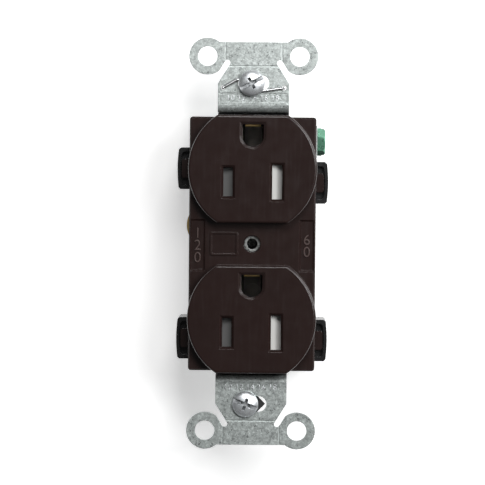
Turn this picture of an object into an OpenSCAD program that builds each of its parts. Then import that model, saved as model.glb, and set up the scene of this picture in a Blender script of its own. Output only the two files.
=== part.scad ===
// Duplex wall outlet with two grounded, shuttered outlets on a wrap-around steel strap.
// +X is right, -Y is the front that faces the room, +Z is up along the strap.
// The origin is midway between the two mounting screws, on the rear plane of the strap's ears.

/* [Outlet faces] */
// Distance between the centres of the two outlet faces
outlet_spacing = 38.9; // [38.9:0.1:48]
// Diameter of each round outlet face
face_d = 33.4; // [32:0.1:42]
// Height of each face between its two flats
face_h = 27.9; // [26:0.1:32]
// How far the faces stand in front of the strap's rear plane
face_rise = 7.8; // [7:0.1:10]
// Thickness of the face wall
face_wall = 2.2; // [1.6:0.1:2.6]
// Radius on the front edge of each face
face_edge_r = 0.6; // [0.3:0.1:1]
// Distance from the face's centre down to the middle of the blade slots
blade_drop = 3.35; // [2:0.05:4]
// Distance between the hot and the neutral blade slot
blade_spacing = 12.7; // [12:0.1:14]
// Width and height of the hot slot
hot_slot = [2.45, 7.5]; // [2:0.05:9]
// Width and height of the neutral slot
neutral_slot = [2.6, 8.9]; // [2:0.05:9]
// Width of the bevel round each slot and ground hole
mouth_bevel = 0.6; // [0.3:0.1:0.8]
// Distance from the blade slots up to the centre of the ground pin
ground_rise = 11.9; // [11.5:0.1:12.5]
// Radius of the round end of the ground hole
ground_hole_r = 2.8; // [2.6:0.1:3]
// Distance from the pin's centre up to the flat end of the ground hole
ground_flat = 3.0; // [2.8:0.1:3.2]

/* [Cover] */
// How far the faces stand out past each side of the cover
face_overhang = 0.3; // [0.1:0.1:1]
// How far the faces stand out past the top and bottom of the cover
face_end_overhang = 0.5; // [0.1:0.1:1]
// How far the deck stands in front of the strap's rear plane
deck_rise = 3.4; // [3:0.1:4]
// Thickness of the deck
deck_wall = 1.9; // [1.4:0.1:2.2]
// Thickness of the cover's side walls
skirt_wall = 1.6; // [1.2:0.1:2]
// How far the side walls reach behind the strap's rear plane
skirt_depth = 6.0; // [5:0.1:7]
// Bevel on the front edges of the deck
deck_bevel = 0.4; // [0.2:0.1:0.6]
// Radius on the cover's corners
corner_r = 0.8; // [0.4:0.1:2]
// Distance from the blade slots down to the screws that hold the cover to the base
boss_drop = 7.4; // [7:0.1:8]
// Radius of the bosses that those screws thread into
boss_r = 2.4; // [2.2:0.1:2.8]
// Radius of those screws' shanks
assembly_r = 1.5; // [1.3:0.05:1.6]
// Radius of the hole for the wall plate's screw
plate_hole_r = 2.2; // [2.2:0.1:2.6]
// Radius of those screws' heads
assembly_head_r = 2.8; // [2.4:0.1:3]
// Height of those screws' heads
assembly_head_h = 1.5; // [1.2:0.1:1.8]
// Width of the slots in those screws
assembly_slot = 0.8; // [0.6:0.05:1]
// Width and height of the recessed rating panels
panel_size = [3.1, 12.6]; // [2:0.1:14]
// Depth of the rating panels
panel_depth = 0.45; // [0.2:0.05:0.6]
// Distance from the cover's side to the middle of each panel
panel_inset = 2.25; // [2:0.05:3]
// Width and height of the raised frame left of the centre
frame_size = [7.3, 6.1]; // [5:0.1:8]
// Distance from the centre to the middle of the raised frame
frame_x = 7.3; // [7:0.1:8]
// Width of the frame's raised line
frame_line = 0.5; // [0.3:0.05:0.6]
// Height of the frame's raised line
frame_rise = 0.3; // [0.1:0.05:0.5]

/* [Base] */
// Depth of the base behind the strap's rear plane
base_depth = 22.3; // [21:0.1:28]
// Height of the pads on the base's ends that the strap bears on
end_pad = 1.0; // [0.3:0.1:1.6]
// Bevel on the base's rear edges
base_bevel = 0.9; // [0.5:0.1:1.5]
// Radius on the base's corners
base_corner_r = 1.2; // [0.5:0.1:2]
// How far the terminal hoods stand out past the cover's sides
hood_reach = 3.2; // [2.9:0.1:4]
// Height of each terminal hood
hood_h = 10.8; // [10.8:0.1:12]
// Thickness of the hood walls
hood_wall = 0.8; // [0.7:0.1:1]
// How far the hoods reach behind the middle of their terminals
hood_tail = 6.2; // [6:0.1:7]
// How far the hoods' front lies behind the strap's rear plane
hood_front = 1.0; // [0.5:0.1:2]
// Height of the cover's lugs that stand in the hoods
lug_h = 4.9; // [4:0.1:6]
// Thickness of the lugs
lug_t = 1.6; // [1.2:0.1:1.8]
// How far the lugs lie behind the hoods' front
lug_gap = 0.3; // [0.2:0.1:0.6]
// How far the lugs stand out past the cover's sides
lug_reach = 2.1; // [1:0.1:2.3]
// Hood heights above their own face's centre on the hot side, upper then lower
hot_hoods = [-0.05, -5.25]; // [-6:0.05:0]
// Hood heights above their own face's centre on the neutral side, upper then lower
neutral_hoods = [-3.55, -5.65]; // [-6:0.05:0]

/* [Terminals] */
// Radius of the terminal screws' shanks
terminal_r = 2.08; // [1.9:0.01:2.2]
// Radius of the terminal screws' heads
terminal_head_r = 3.8; // [3.6:0.1:4]
// Width of the slots in the terminal screws
terminal_slot = 1.1; // [0.9:0.05:1.3]
// Height of the terminal screws' heads
terminal_head_h = 2.0; // [1.6:0.1:2.2]
// Distance from the cover's side in to the outside of the terminal plates
terminal_inset = 3.6; // [3.6:0.1:4]
// Depth of the terminal screws behind the strap's rear plane
terminal_depth = 13.1; // [13:0.1:15]
// Length of the terminal screws under the head
terminal_len = 5.6; // [5:0.1:6]
// Sheet thickness of the contacts
contact_t = 0.8; // [0.6:0.05:0.9]
// Gap between the two leaves that grip a blade
blade_gap = 1.5; // [1.4:0.05:1.6]
// Width of the leaves that grip a blade
leaf_w = 7.0; // [6:0.1:7.2]
// Outer radius of the break-off link's loop
link_r = 5.84; // [5:0.01:6]
// Height of the break-off link above the centre
link_z = 4.55; // [4:0.05:5]
// How far the leaves' mouths lie behind the strap's rear plane
leaf_front_y = 0.2; // [0:0.1:0.5]
// Length of the leaves
leaf_len = 9.9; // [9.5:0.1:10.2]
// Space round the leaves, for them to open
leaf_room = 0.4; // [0.35:0.05:0.6]
// Thickness of the wire clamp plates
clamp_t = 1.0; // [0.8:0.1:1.2]
// Width and height of the wire clamp plates
clamp_size = [8.4, 8.6]; // [8:0.1:9]
// Radius of the wire holes in the back
wire_hole_r = 1.35; // [1.2:0.05:1.4]
// Distance from the terminal screw up or down to a wire hole
wire_offset = 2.95; // [2.9:0.05:3]
// How far the ground contacts' top leaf stands in front of the strap's rear plane
ground_tongue = 3.0; // [2:0.1:4]
// Width of the ground contacts' side leaves
ground_leaf_w = 5.2; // [4.4:0.1:5.6]
// Width of the ground contacts' top leaf
ground_tongue_w = 4.0; // [3.4:0.1:4.2]
// Radius of the rivets that hold the ground contacts
rivet_r = 1.5; // [1.3:0.05:1.6]
// Distance from the centre of the ground pin down to the rivet of its contact
rivet_drop = 2.3; // [2.2:0.1:2.6]
// Width across the flats of the ground screw's head
ground_hex = 6.35; // [6:0.05:7]
// Height of the ground screw's head
ground_head_h = 2.1; // [1.8:0.1:2.4]
// Length of the ground screw under the head
ground_screw_len = 7; // [6:0.5:8]
// Height of the ground screw above the upper face's centre
ground_screw_up = 7.05; // [6.8:0.05:7.5]
// Depth of the ground screw behind the strap's rear plane
ground_screw_depth = 10.8; // [10.5:0.1:13]

/* [Strap] */
// Sheet thickness of the strap
strap_t = 1.4; // [1.2:0.1:1.6]
// Width of the strap
strap_w = 18.5; // [17:0.1:20]
// Inner radius of the strap's bends
bend_r = 0.5; // [0.3:0.1:1]
// Distance from the cover's end to the mounting screw
screw_beyond_cover = 8.77; // [8.77:0.01:11]
// Length and width of the mounting slots
mount_slot = [8.1, 4.1]; // [3.9:0.1:9]
// Distance between the left and right ear holes
ear_spacing = 23.9; // [23:0.1:26]
// Distance from the mounting screw up to the ear holes
ear_rise = 6.93; // [6.5:0.01:8]
// Radius of the ear holes
ear_hole_r = 2.53; // [2:0.01:3]
// Outer radius of the ears
ear_r = 4.8; // [4.4:0.1:5]
// Distance from the ear holes up to the strap's end
end_rise = 3.7; // [3:0.1:4.2]
// Radius of the round end of the slit between ear and strap
slit_r = 0.75; // [0.5:0.05:1]
// Depth of the break-off scores, which are on both faces
score_depth = 0.25; // [0.1:0.05:0.4]
// Width of the break-off scores
score_w = 0.4; // [0.3:0.05:0.6]

/* [Mounting screws] */
// Radius of the mounting screws' shanks
mount_r = 1.75; // [1.6:0.01:1.8]
// Radius of the mounting screws' heads
mount_head_r = 3.4; // [3:0.1:3.6]
// Height of the mounting screws' heads
mount_head_h = 1.9; // [1.6:0.1:2.2]
// Width of the slots in the mounting screws
mount_slot_w = 1.0; // [0.8:0.05:1.2]
// Length of the mounting screws under the head
mount_len = 19; // [16:0.5:25]
// How much thinner the screws' necks are, so that the washers keep them
neck_relief = 0.3; // [0.25:0.05:0.4]
// Thickness of the square retaining washers
retainer_t = 0.9; // [0.6:0.1:1.2]
// Side of the square retaining washers
retainer_w = 7.3; // [6.5:0.1:7.4]
// Where the top and the bottom screw stand in their slots
screw_shift = [-0.5, -1.45]; // [-2:0.05:2]
// Radius of the wire that grounds the strap to the top screw
clip_r = 0.4; // [0.3:0.05:0.45]

/* [Shutters] */
// How far each shutter slides to open its slot
shutter_travel = 3.3; // [3.2:0.1:3.4]
// Width of each shutter
shutter_w = 3.9; // [3.8:0.1:4]
// Height of each shutter
shutter_h = 9.8; // [9.6:0.1:10]
// Rise of the ramp that a blade pushes on
ramp_rise = 2.0; // [1.5:0.1:2.2]
// Middle radius of the shutter springs
spring_r = 0.9; // [0.7:0.05:1.1]
// Radius of the springs' wire
spring_wire_r = 0.18; // [0.12:0.01:0.22]
// Number of turns in each spring
spring_turns = 5; // [4:1:7]
// Thickness of the plate that carries the shutters
carrier_t = 1.0; // [0.8:0.1:1.2]

/* [Fits] */
// Gap between pieces that seat on each other
seat_gap = 0.05; // [0.02:0.01:0.1]
// Gap round a piece that drops into a pocket
pocket_gap = 0.15; // [0.1:0.05:0.2]
// Gap round a piece that moves or that wires must pass
chamber_gap = 0.3; // [0.3:0.05:0.5]
// Radial gap round a screw or rivet
screw_gap = 0.08; // [0.05:0.01:0.1]

/* [Hidden] */
$fn = 64;
cut = 0.01;

// Overall sizes that follow from the faces
cover_w = face_d - 2 * face_overhang;
cover_h = outlet_spacing + face_h - 2 * face_end_overhang;
side_x = cover_w / 2;
base_x = side_x - 0.1;
base_z = cover_h / 2;
pad_z = base_z + end_pad;

// Depths, from the front to the back
face_y = -face_rise;
face_in_y = face_y + face_wall;
deck_y = -deck_rise;
deck_in_y = deck_y + deck_wall;
base_front_y = deck_in_y + seat_gap;
shoulder_y = skirt_depth + seat_gap;
back_y = base_depth;
back_plate_y = back_y + seat_gap;
strap_back_y = back_plate_y + strap_t;

// Heights of the outlets and what lines up with them
upper_z = outlet_spacing / 2;
lower_z = -outlet_spacing / 2;
outlets = [upper_z, lower_z];
blade_x = blade_spacing / 2;
boss_pilot_r = assembly_r + screw_gap;
function blade_z(outlet_z) = outlet_z - blade_drop;
function pin_z(outlet_z) = blade_z(outlet_z) + ground_rise;
function rivet_z(outlet_z) = pin_z(outlet_z) - rivet_drop;
function boss_z(outlet_z) = blade_z(outlet_z) - boss_drop;

// Terminals
terminal_x = side_x - terminal_inset;
hood_x = side_x + hood_reach;
hood_back_y = terminal_depth + hood_tail;
chamber_reach = clamp_size[0] / 2 + chamber_gap;
chamber_y = [terminal_depth - chamber_reach, terminal_depth + chamber_reach];
chamber_h = clamp_size[1] + 2 * chamber_gap;
clamp_x = terminal_x + seat_gap;
head_x = clamp_x + clamp_t + seat_gap;
bus_w = 2.0;
bus_y = shoulder_y + 0.25;
leaf_end_y = leaf_front_y + leaf_len;
hot_z = [upper_z + hot_hoods[0], lower_z + hot_hoods[1]];
neutral_z = [upper_z + neutral_hoods[0], lower_z + neutral_hoods[1]];
terminals = [[-1, hot_z[0]], [-1, hot_z[1]], [1, neutral_z[0]], [1, neutral_z[1]]];

// Break-off links
link_reach = side_x + 0.8;

// Ground
ground_z = upper_z + ground_screw_up;
ground_tab_x = side_x + 0.3;
ground_tab_w = 8.4;
ground_well = 8.0;
ground_leaf = 2.35;
ground_floor_t = 1.0;
ground_floor_y = back_y - ground_floor_t;
rivet_t = 0.6;
rivet_rim = 0.6;
ground_foot = rivet_drop + rivet_r + rivet_rim + pocket_gap;

// Post for the wall plate's screw
post_r = 2.05;
post_thread_r = 1.4;
post_front_y = deck_in_y - 0.3;
post_thread_len = 14;

// Strap
wall_z = pad_z + seat_gap * 2;
screw_z = base_z + screw_beyond_cover;
ear_z = screw_z + ear_rise;
end_z = ear_z + end_rise;
bend_outer_r = bend_r + strap_t;
clip_hole = [strap_w / 2 - 1.35, screw_z - 1.2];
slit_top = [6.8, ear_z - 1.7];
shoulder_x = strap_w / 2;

// Mounting screws
neck_r = mount_r - neck_relief;
retainer_y = [0.1, 0.1 + retainer_t];

// Shutters
pocket_size = [2 * (blade_x + shutter_w / 2 + 0.5), shutter_h + 0.8];
carrier_y = deck_in_y - carrier_t - seat_gap;
shutter_front_y = face_in_y + 0.1;
shutter_back_y = carrier_y - 0.1;
shutter_inner_x = blade_x - shutter_w / 2;
spring_y = (shutter_front_y + shutter_back_y) / 2;

// --- Shared shapes ---

// A flat outline drawn in X and Z, given depth from the front to the back
module slab(front, back) {
  translate([0, back, 0]) rotate([90, 0, 0]) linear_extrude(back - front) children();
}

// A side outline drawn in Y and Z, given width from left to right
module across(left, right) {
  translate([left, 0, 0]) rotate([90, 0, 90]) linear_extrude(right - left) children();
}

// Something drawn for the right side, mirrored when it belongs on the left
module on_side(side) {
  mirror([side < 0 ? 1 : 0, 0, 0]) children();
}

// A block from its low corner to its high corner
module block(low, high) {
  translate(low) cube(high - low);
}

// A rectangle with round corners, centred
module rounded_rect(w, h, r) {
  square([w - 2 * r, h], center = true);
  square([w, h - 2 * r], center = true);
  for (sx = [-1, 1], sy = [-1, 1]) translate([sx * (w / 2 - r), sy * (h / 2 - r)]) circle(r);
}

// A rectangular block whose front edges are bevelled
module bevelled_block(w, h, front, back, bevel) {
  intersection() {
    translate([0, 0, -h]) linear_extrude(2 * h) bevelled_outline(w, front, back, bevel);
    across(-w, w) mirror([1, -1]) bevelled_outline(h, front, back, bevel);
  }
}

// Half-width against depth, with the two front corners bevelled
module bevelled_outline(w, front, back, bevel) {
  polygon([[-w / 2, back], [-w / 2, front + bevel], [-w / 2 + bevel, front],
    [w / 2 - bevel, front], [w / 2, front + bevel], [w / 2, back]]);
}

// A tapered mouth that is wider at the front face
module mouth(w, h, front, bevel) {
  intersection() {
    translate([0, 0, -h]) linear_extrude(2 * h) mouth_outline(w, front, bevel);
    across(-w - 1, w + 1) mirror([1, -1]) mouth_outline(h, front, bevel);
  }
}

// Half-width against depth of a tapered mouth
module mouth_outline(w, front, bevel) {
  polygon([[-w / 2, front + bevel], [-w / 2 - bevel - cut, front - cut],
    [w / 2 + bevel + cut, front - cut], [w / 2, front + bevel]]);
}

// A quarter ring of bent sheet, in the quadrant that sx and sy name
module sheet_bend(centre, sx, sy) {
  translate(centre) intersection() {
    difference() {
      circle(bend_outer_r);
      circle(bend_r);
    }
    translate([min(0, sx * bend_outer_r), min(0, sy * bend_outer_r)]) square(bend_outer_r);
  }
}

// A round rod from p to q, both at one depth
module rod(p, q, r) {
  run = q - p;
  translate([p[0], 0, p[1]]) rotate([0, atan2(run[0], run[1]), 0]) cylinder(h = norm(run), r = r);
}

// A screw with a domed head, its head up along +Z and its underside at the origin
module domed_screw(head_r, head_h, shank_r, len, slot_w, neck = 0) {
  rim = head_h * 0.35;
  difference() {
    union() {
      rotate_extrude() polygon(concat([[0, 0], [head_r, 0]],
        [for (a = [0:10:90]) [head_r * cos(a), rim + (head_h - rim) * sin(a)]]));
      translate([0, 0, -len]) cylinder(h = len + (neck > 0 ? -neck : cut), r = shank_r);
      if (neck > 0) translate([0, 0, -neck - cut]) cylinder(h = neck + 2 * cut, r = neck_r);
    }
    translate([-head_r - 1, -slot_w / 2, head_h - 0.8]) cube([2 * head_r + 2, slot_w, 2]);
    translate([-slot_w / 2, -head_r * 0.5, head_h - 1.2]) cube([slot_w, head_r, 2]);
  }
}

// --- Housing ---

// One raised outlet face: a disc with a flat top and bottom and rounded front edges
module raised_face() {
  depth = deck_y + 2 - face_y;
  edge = [for (a = [0:15:90]) face_edge_r * [cos(a), sin(a)]];
  intersection() {
    translate([0, face_y + depth, 0]) rotate([90, 0, 0]) rotate_extrude($fn = 128)
      polygon(concat([[0, 0], [face_d / 2, 0]],
        [for (p = edge) [face_d / 2 - face_edge_r + p[0], depth - face_edge_r + p[1]]], [[0, depth]]));
    across(-face_d, face_d) polygon(concat([[face_y + depth, -face_h / 2]],
      [for (p = edge) [face_y + face_edge_r - p[1], -face_h / 2 + face_edge_r - p[0]]],
      [for (i = [len(edge) - 1:-1:0])
        [face_y + face_edge_r - edge[i][1], face_h / 2 - face_edge_r + edge[i][0]]],
      [[face_y + depth, face_h / 2]]));
  }
}

// The hole for a U-shaped ground pin: flat at the top and round at the bottom
module ground_outline(grow) {
  circle(ground_hole_r + grow);
  translate([-ground_hole_r - grow, 0]) square([2 * (ground_hole_r + grow), ground_flat + grow]);
}

// The openings that one outlet cuts through its face
module outlet_holes() {
  for (blade = [[-1, hot_slot], [1, neutral_slot]]) {
    slot = blade[1];
    translate([blade[0] * blade_x, 0, -blade_drop]) {
      block([-slot[0] / 2, face_y - 1, -slot[1] / 2], [slot[0] / 2, face_in_y + 1, slot[1] / 2]);
      mouth(slot[0], slot[1], face_y, mouth_bevel);
    }
  }
  translate([0, 0, ground_rise - blade_drop]) {
    slab(face_y - 1, face_in_y + 1) ground_outline(0);
    for (step = [0:2]) slab(face_y - 1, face_y + mouth_bevel * (step + 1) / 3)
      ground_outline(mouth_bevel * (1 - step / 3));
  }
}

// The pockets behind one face: one for the shutters and one for the ground contact's mouth
module outlet_pockets() {
  translate([0, 0, -blade_drop]) slab(face_in_y, deck_in_y + cut) square(pocket_size, center = true);
  translate([0, 0, ground_rise - blade_drop]) slab(face_in_y, deck_in_y + cut)
    square(ground_well, center = true);
}

module face_cover() {
  color([0.17, 0.13, 0.12]) difference() {
    union() {
      difference() {
        union() {
          intersection() {
            bevelled_block(cover_w, cover_h, deck_y, skirt_depth, deck_bevel);
            slab(deck_y, skirt_depth) rounded_rect(cover_w, cover_h, corner_r);
          }
          for (z = outlets) translate([0, 0, z]) raised_face();
        }
        slab(deck_in_y, skirt_depth + 1)
          rounded_rect(cover_w - 2 * skirt_wall, cover_h - 2 * skirt_wall, corner_r);
        for (z = outlets) translate([0, 0, z]) outlet_pockets();
      }
      for (z = outlets) translate([0, skirt_depth, boss_z(z)]) rotate([90, 0, 0])
        cylinder(h = skirt_depth - deck_in_y + cut, r = boss_r);
      for (t = terminals) on_side(t[0]) cover_lug(t[1]);
      translate([-frame_x, 0, 0]) slab(deck_y - frame_rise, deck_y + cut) difference() {
        rounded_rect(frame_size[0], frame_size[1], 0.6);
        rounded_rect(frame_size[0] - 2 * frame_line, frame_size[1] - 2 * frame_line, 0.3);
      }
    }
    for (z = outlets) translate([0, 0, z]) outlet_holes();
    for (z = outlets) translate([0, skirt_depth + 1, boss_z(z)]) rotate([90, 0, 0])
      cylinder(h = skirt_depth + 1 - deck_y - 1, r = boss_pilot_r);
    translate([0, deck_in_y + 1, 0]) rotate([90, 0, 0]) cylinder(h = deck_wall + 2, r = plate_hole_r);
    for (side = [-1, 1]) translate([side * (side_x - panel_inset), 0, -0.4])
      mouth(panel_size[0], panel_size[1], deck_y, panel_depth);
  }
}

// A lug on the cover's side that stands in a terminal hood
module cover_lug(z) {
  reach = side_x + lug_reach;
  corner = 0.4;
  translate([0, 0, z]) slab(hood_front + lug_gap, hood_front + lug_gap + lug_t)
    polygon([[side_x - skirt_wall / 2, -lug_h / 2], [reach - corner, -lug_h / 2],
      [reach, -lug_h / 2 + corner], [reach, lug_h / 2 - corner], [reach - corner, lug_h / 2],
      [side_x - skirt_wall / 2, lug_h / 2]]);
}

// The outline of a hood seen from the front, crowned a little along its outer side
module hood_outline(inner_x, outer_x, h) {
  crown = 0.3;
  polygon(concat([[inner_x, -h / 2], [outer_x - crown - 0.5, -h / 2]],
    [for (t = [-1:0.25:1]) [outer_x - crown * t * t, t * (h / 2 - 0.5)]],
    [[outer_x - crown - 0.5, h / 2], [inner_x, h / 2]]));
}

// The guard round one terminal: a front wall with a pocket for the cover's lug, and two side walls
module hood(z) {
  lug_pocket_h = hood_h - 2 * hood_wall - 0.5;
  translate([0, 0, z]) difference() {
    union() {
      slab(hood_front, shoulder_y + 1) hood_outline(side_x + seat_gap, hood_x, hood_h);
      slab(shoulder_y, hood_back_y) hood_outline(base_x - 1, hood_x, hood_h);
    }
    slab(hood_front - 1, hood_front + lug_gap + lug_t + pocket_gap)
      hood_outline(side_x - 1, hood_x - hood_wall, lug_pocket_h);
    block([base_x + cut, chamber_y[0], -chamber_h / 2], [hood_x + 1, hood_back_y + 1, chamber_h / 2]);
  }
}

// What one terminal cuts out of the base: its chamber, its shank's hole and two wire holes
module terminal_cut(z) {
  wire_x = terminal_x + wire_hole_r + seat_gap;
  translate([0, 0, z]) {
    block([terminal_x + cut, chamber_y[0], -chamber_h / 2], [hood_x + 1, chamber_y[1], chamber_h / 2]);
    translate([head_x - terminal_len - 2 * chamber_gap, terminal_depth, 0]) rotate([0, 90, 0])
      cylinder(h = terminal_len, r = terminal_r + chamber_gap);
    for (s = [-1, 1]) translate([wire_x, back_y + 1, s * wire_offset]) rotate([90, 0, 0])
      cylinder(h = back_y + 1.5 - chamber_y[1], r = wire_hole_r);
  }
}

// The wells for one live contact: a pocket behind each slot and a long slit for plates and bus
module contact_well(heights) {
  well_x = [blade_x - blade_gap / 2 - contact_t - leaf_room, terminal_x + pocket_gap];
  slit_x = [terminal_x - contact_t - pocket_gap, terminal_x + pocket_gap];
  for (z = outlets) block([well_x[0], base_front_y - 1, blade_z(z) - leaf_w / 2 - leaf_room],
    [well_x[1], leaf_end_y + leaf_room, blade_z(z) + leaf_w / 2 + leaf_room]);
  block([slit_x[0], base_front_y - 1, heights[1] - clamp_size[1] / 2 - pocket_gap],
    [slit_x[1], chamber_y[1], heights[0] + clamp_size[1] / 2 + pocket_gap]);
}

// Height against depth of the base's end pads, bevelled to pass the strap's back bends
module bevelled_pad() {
  polygon([[-pad_z, shoulder_y], [-pad_z, back_y - bend_r], [-pad_z + bend_r, back_y],
    [pad_z - bend_r, back_y], [pad_z, back_y - bend_r], [pad_z, shoulder_y]]);
}

module base() {
  tower_w = cover_w - 2 * skirt_wall - 2 * pocket_gap;
  tower_h = cover_h - 2 * skirt_wall - 2 * pocket_gap;
  color([0.08, 0.09, 0.09]) difference() {
    union() {
      mirror([0, 1, 0]) intersection() {
        bevelled_block(2 * base_x, 2 * base_z, -back_y, -shoulder_y, base_bevel);
        slab(-back_y, -shoulder_y) rounded_rect(2 * base_x, 2 * base_z, base_corner_r);
      }
      slab(base_front_y, shoulder_y + 1) rounded_rect(tower_w, tower_h, corner_r);
      across(-strap_w / 2, strap_w / 2) mirror([1, -1]) bevelled_pad();
      for (t = terminals) on_side(t[0]) hood(t[1]);
    }
    for (t = terminals) on_side(t[0]) terminal_cut(t[1]);
    on_side(-1) contact_well(hot_z);
    on_side(1) contact_well(neutral_z);
    for (z = outlets) {
      block([-ground_well / 2, base_front_y - 1, pin_z(z) - ground_foot - chamber_gap],
        [ground_well / 2, ground_floor_y, pin_z(z) + ground_well / 2]);
      translate([0, back_y + 1, rivet_z(z)]) rotate([90, 0, 0])
        cylinder(h = ground_floor_t + 2, r = rivet_r + screw_gap);
      translate([0, skirt_depth + 0.3, boss_z(z)]) rotate([90, 0, 0])
        cylinder(h = skirt_depth + 10, r = boss_r + pocket_gap);
      translate([0, back_y + 1, boss_z(z)]) rotate([90, 0, 0]) cylinder(h = back_y, r = boss_pilot_r);
    }
    translate([0, back_y + 1, 0]) rotate([90, 0, 0]) cylinder(h = back_y + 10, r = post_r + 0.1);
    block([-side_x - 1, shoulder_y - 1, link_z - link_r - 0.3],
      [-terminal_x + contact_t + pocket_gap, bus_y + bus_w + 0.25, link_z + link_r + 0.3]);
    block([ground_tab_x - strap_t - 0.35, shoulder_y + 0.3, ground_z - ground_tab_w / 2 - 0.2],
      [side_x + 1, back_y + 1, ground_z + ground_tab_w / 2 + 0.2]);
    translate([ground_tab_x - ground_screw_len - 2 * chamber_gap, ground_screw_depth, ground_z])
      rotate([0, 90, 0]) cylinder(h = ground_screw_len, r = terminal_r + chamber_gap);
  }
}

// --- Strap ---

// The flat end of the strap seen from the front, with its two ears
module yoke_outline(with_clip) {
  difference() {
    union() {
      for (s = [-1, 1]) {
        translate([s * ear_spacing / 2, ear_z]) circle(ear_r);
        polygon([[0, end_z], [s * ear_spacing / 2, end_z], [s * ear_spacing / 2, ear_z],
          [s * (ear_spacing / 2 - 3.2), ear_z - 3.5], [s * shoulder_x, screw_z],
          [s * shoulder_x, wall_z + bend_outer_r], [0, wall_z + bend_outer_r]]);
      }
    }
    for (s = [-1, 1]) {
      translate([s * ear_spacing / 2, ear_z]) circle(ear_hole_r);
      slit(s);
      if (with_clip) translate([s * clip_hole[0], clip_hole[1]]) circle(clip_r + 0.2);
    }
    translate([-mount_slot[0] / 2 + mount_slot[1] / 2, screw_z]) circle(mount_slot[1] / 2);
    translate([mount_slot[0] / 2 - mount_slot[1] / 2, screw_z]) circle(mount_slot[1] / 2);
    translate([0, screw_z])
      square([mount_slot[0] - mount_slot[1], mount_slot[1]], center = true);
  }
}

// The slanted slit between an ear and the strap, with a round inner end
module slit(s) {
  lean = 32;
  translate([s * slit_top[0], slit_top[1]]) {
    circle(slit_r);
    rotate(s * lean) translate([-slit_r, -12]) square([2 * slit_r, 12]);
  }
}

// One end of the strap in side view: the bend, the end wall and the back bend
module strap_profile() {
  sheet_bend([bend_r, wall_z + bend_outer_r], -1, -1);
  translate([bend_r, wall_z]) square([back_plate_y - 2 * bend_r, strap_t]);
  sheet_bend([back_plate_y - bend_r, wall_z - bend_r], 1, 1);
  translate([back_plate_y, 0]) square([strap_t, wall_z - bend_r]);
}

// The side tab that takes the ground screw
module ground_tab() {
  inner_x = ground_tab_x - strap_t;
  translate([0, 0, ground_z - ground_tab_w / 2]) linear_extrude(ground_tab_w) {
    translate([0, back_plate_y]) square([inner_x - bend_r, strap_t]);
    sheet_bend([inner_x - bend_r, back_plate_y - bend_r], 1, 1);
    translate([inner_x, shoulder_y + 0.6]) square([strap_t, back_plate_y - bend_r - shoulder_y - 0.6]);
  }
}

module mounting_strap() {
  color([0.72, 0.76, 0.75]) difference() {
    union() {
      for (s = [0, 1]) mirror([0, 0, s]) {
        slab(-strap_t, 0) yoke_outline(s == 0);
        across(-strap_w / 2, strap_w / 2) strap_profile();
      }
      ground_tab();
    }
    for (s = [0, 1]) mirror([0, 0, s]) {
      for (side = [-1, 1]) on_side(side) block([slit_top[0] + slit_r - score_w, -strap_t - 1, slit_top[1]],
        [slit_top[0] + slit_r, -strap_t + score_depth, end_z + 1]);
      for (side = [-1, 1]) on_side(side) block([slit_top[0] + slit_r - score_w, -score_depth, slit_top[1]],
        [slit_top[0] + slit_r, 1, end_z + 1]);
      block([-slit_top[0], -strap_t - 1, slit_top[1] - 0.7 - score_w],
        [slit_top[0], -strap_t + score_depth, slit_top[1] - 0.7]);
    }
    block([-shoulder_x + 0.3, -strap_t - 1, wall_z + bend_outer_r + 0.8],
      [shoulder_x - 0.3, -strap_t + 0.2, wall_z + bend_outer_r + 3.2]);
    for (z = outlets) {
      translate([0, strap_back_y + 1, rivet_z(z)]) rotate([90, 0, 0])
        cylinder(h = strap_t + 2, r = rivet_r + screw_gap);
      translate([0, strap_back_y + 1, boss_z(z)]) rotate([90, 0, 0])
        cylinder(h = strap_t + 2, r = boss_pilot_r);
    }
    translate([0, strap_back_y + 1, 0]) rotate([90, 0, 0]) cylinder(h = strap_t + 2, r = post_r + 0.05);
    translate([ground_tab_x - strap_t - 1, ground_screw_depth, ground_z]) rotate([0, 90, 0])
      cylinder(h = strap_t + 2, r = terminal_r + screw_gap);
  }
}

// The threaded post that takes the wall plate's screw, riveted over behind the strap
module plate_screw_post() {
  rim = 0.7;
  color([0.75, 0.76, 0.74]) difference() {
    union() {
      translate([0, strap_back_y, 0]) rotate([90, 0, 0])
        cylinder(h = strap_back_y - post_front_y, r = post_r);
      translate([0, strap_back_y + seat_gap + rim, 0]) rotate([90, 0, 0])
        cylinder(h = rim, r = post_r + 1);
      translate([0, strap_back_y + seat_gap + rim, 0]) rotate([90, 0, 0])
        cylinder(h = rim + 1, r = post_r);
    }
    translate([0, post_front_y + post_thread_len, 0]) rotate([90, 0, 0])
      cylinder(h = post_thread_len + 1, r = post_thread_r);
  }
}

// The screws that pull the cover onto the base from behind the strap
module assembly_screws() {
  color([0.7, 0.7, 0.68]) for (z = outlets) translate([0, strap_back_y + seat_gap, boss_z(z)])
    rotate([-90, 0, 0])
    domed_screw(assembly_head_r, assembly_head_h, assembly_r, strap_back_y - deck_y - 1,
      assembly_slot);
}

module ground_rivets() {
  head_r = rivet_r + 1.1;
  head_h = 0.9;
  inner_y = ground_floor_y - 2 * seat_gap - contact_t;
  color([0.72, 0.6, 0.35]) for (z = outlets) translate([0, 0, rivet_z(z)]) {
    translate([0, strap_back_y + seat_gap, 0]) rotate([90, 0, 0])
      cylinder(h = strap_back_y + seat_gap - inner_y + cut, r = rivet_r);
    translate([0, strap_back_y + seat_gap, 0]) rotate([-90, 0, 0]) rotate_extrude()
      polygon(concat([[0, 0]], [for (a = [0:15:90]) [head_r * cos(a), head_h * sin(a)]]));
    translate([0, inner_y, 0]) rotate([90, 0, 0]) cylinder(h = rivet_t, r = rivet_r + rivet_rim);
  }
}

// --- Contacts ---

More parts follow.
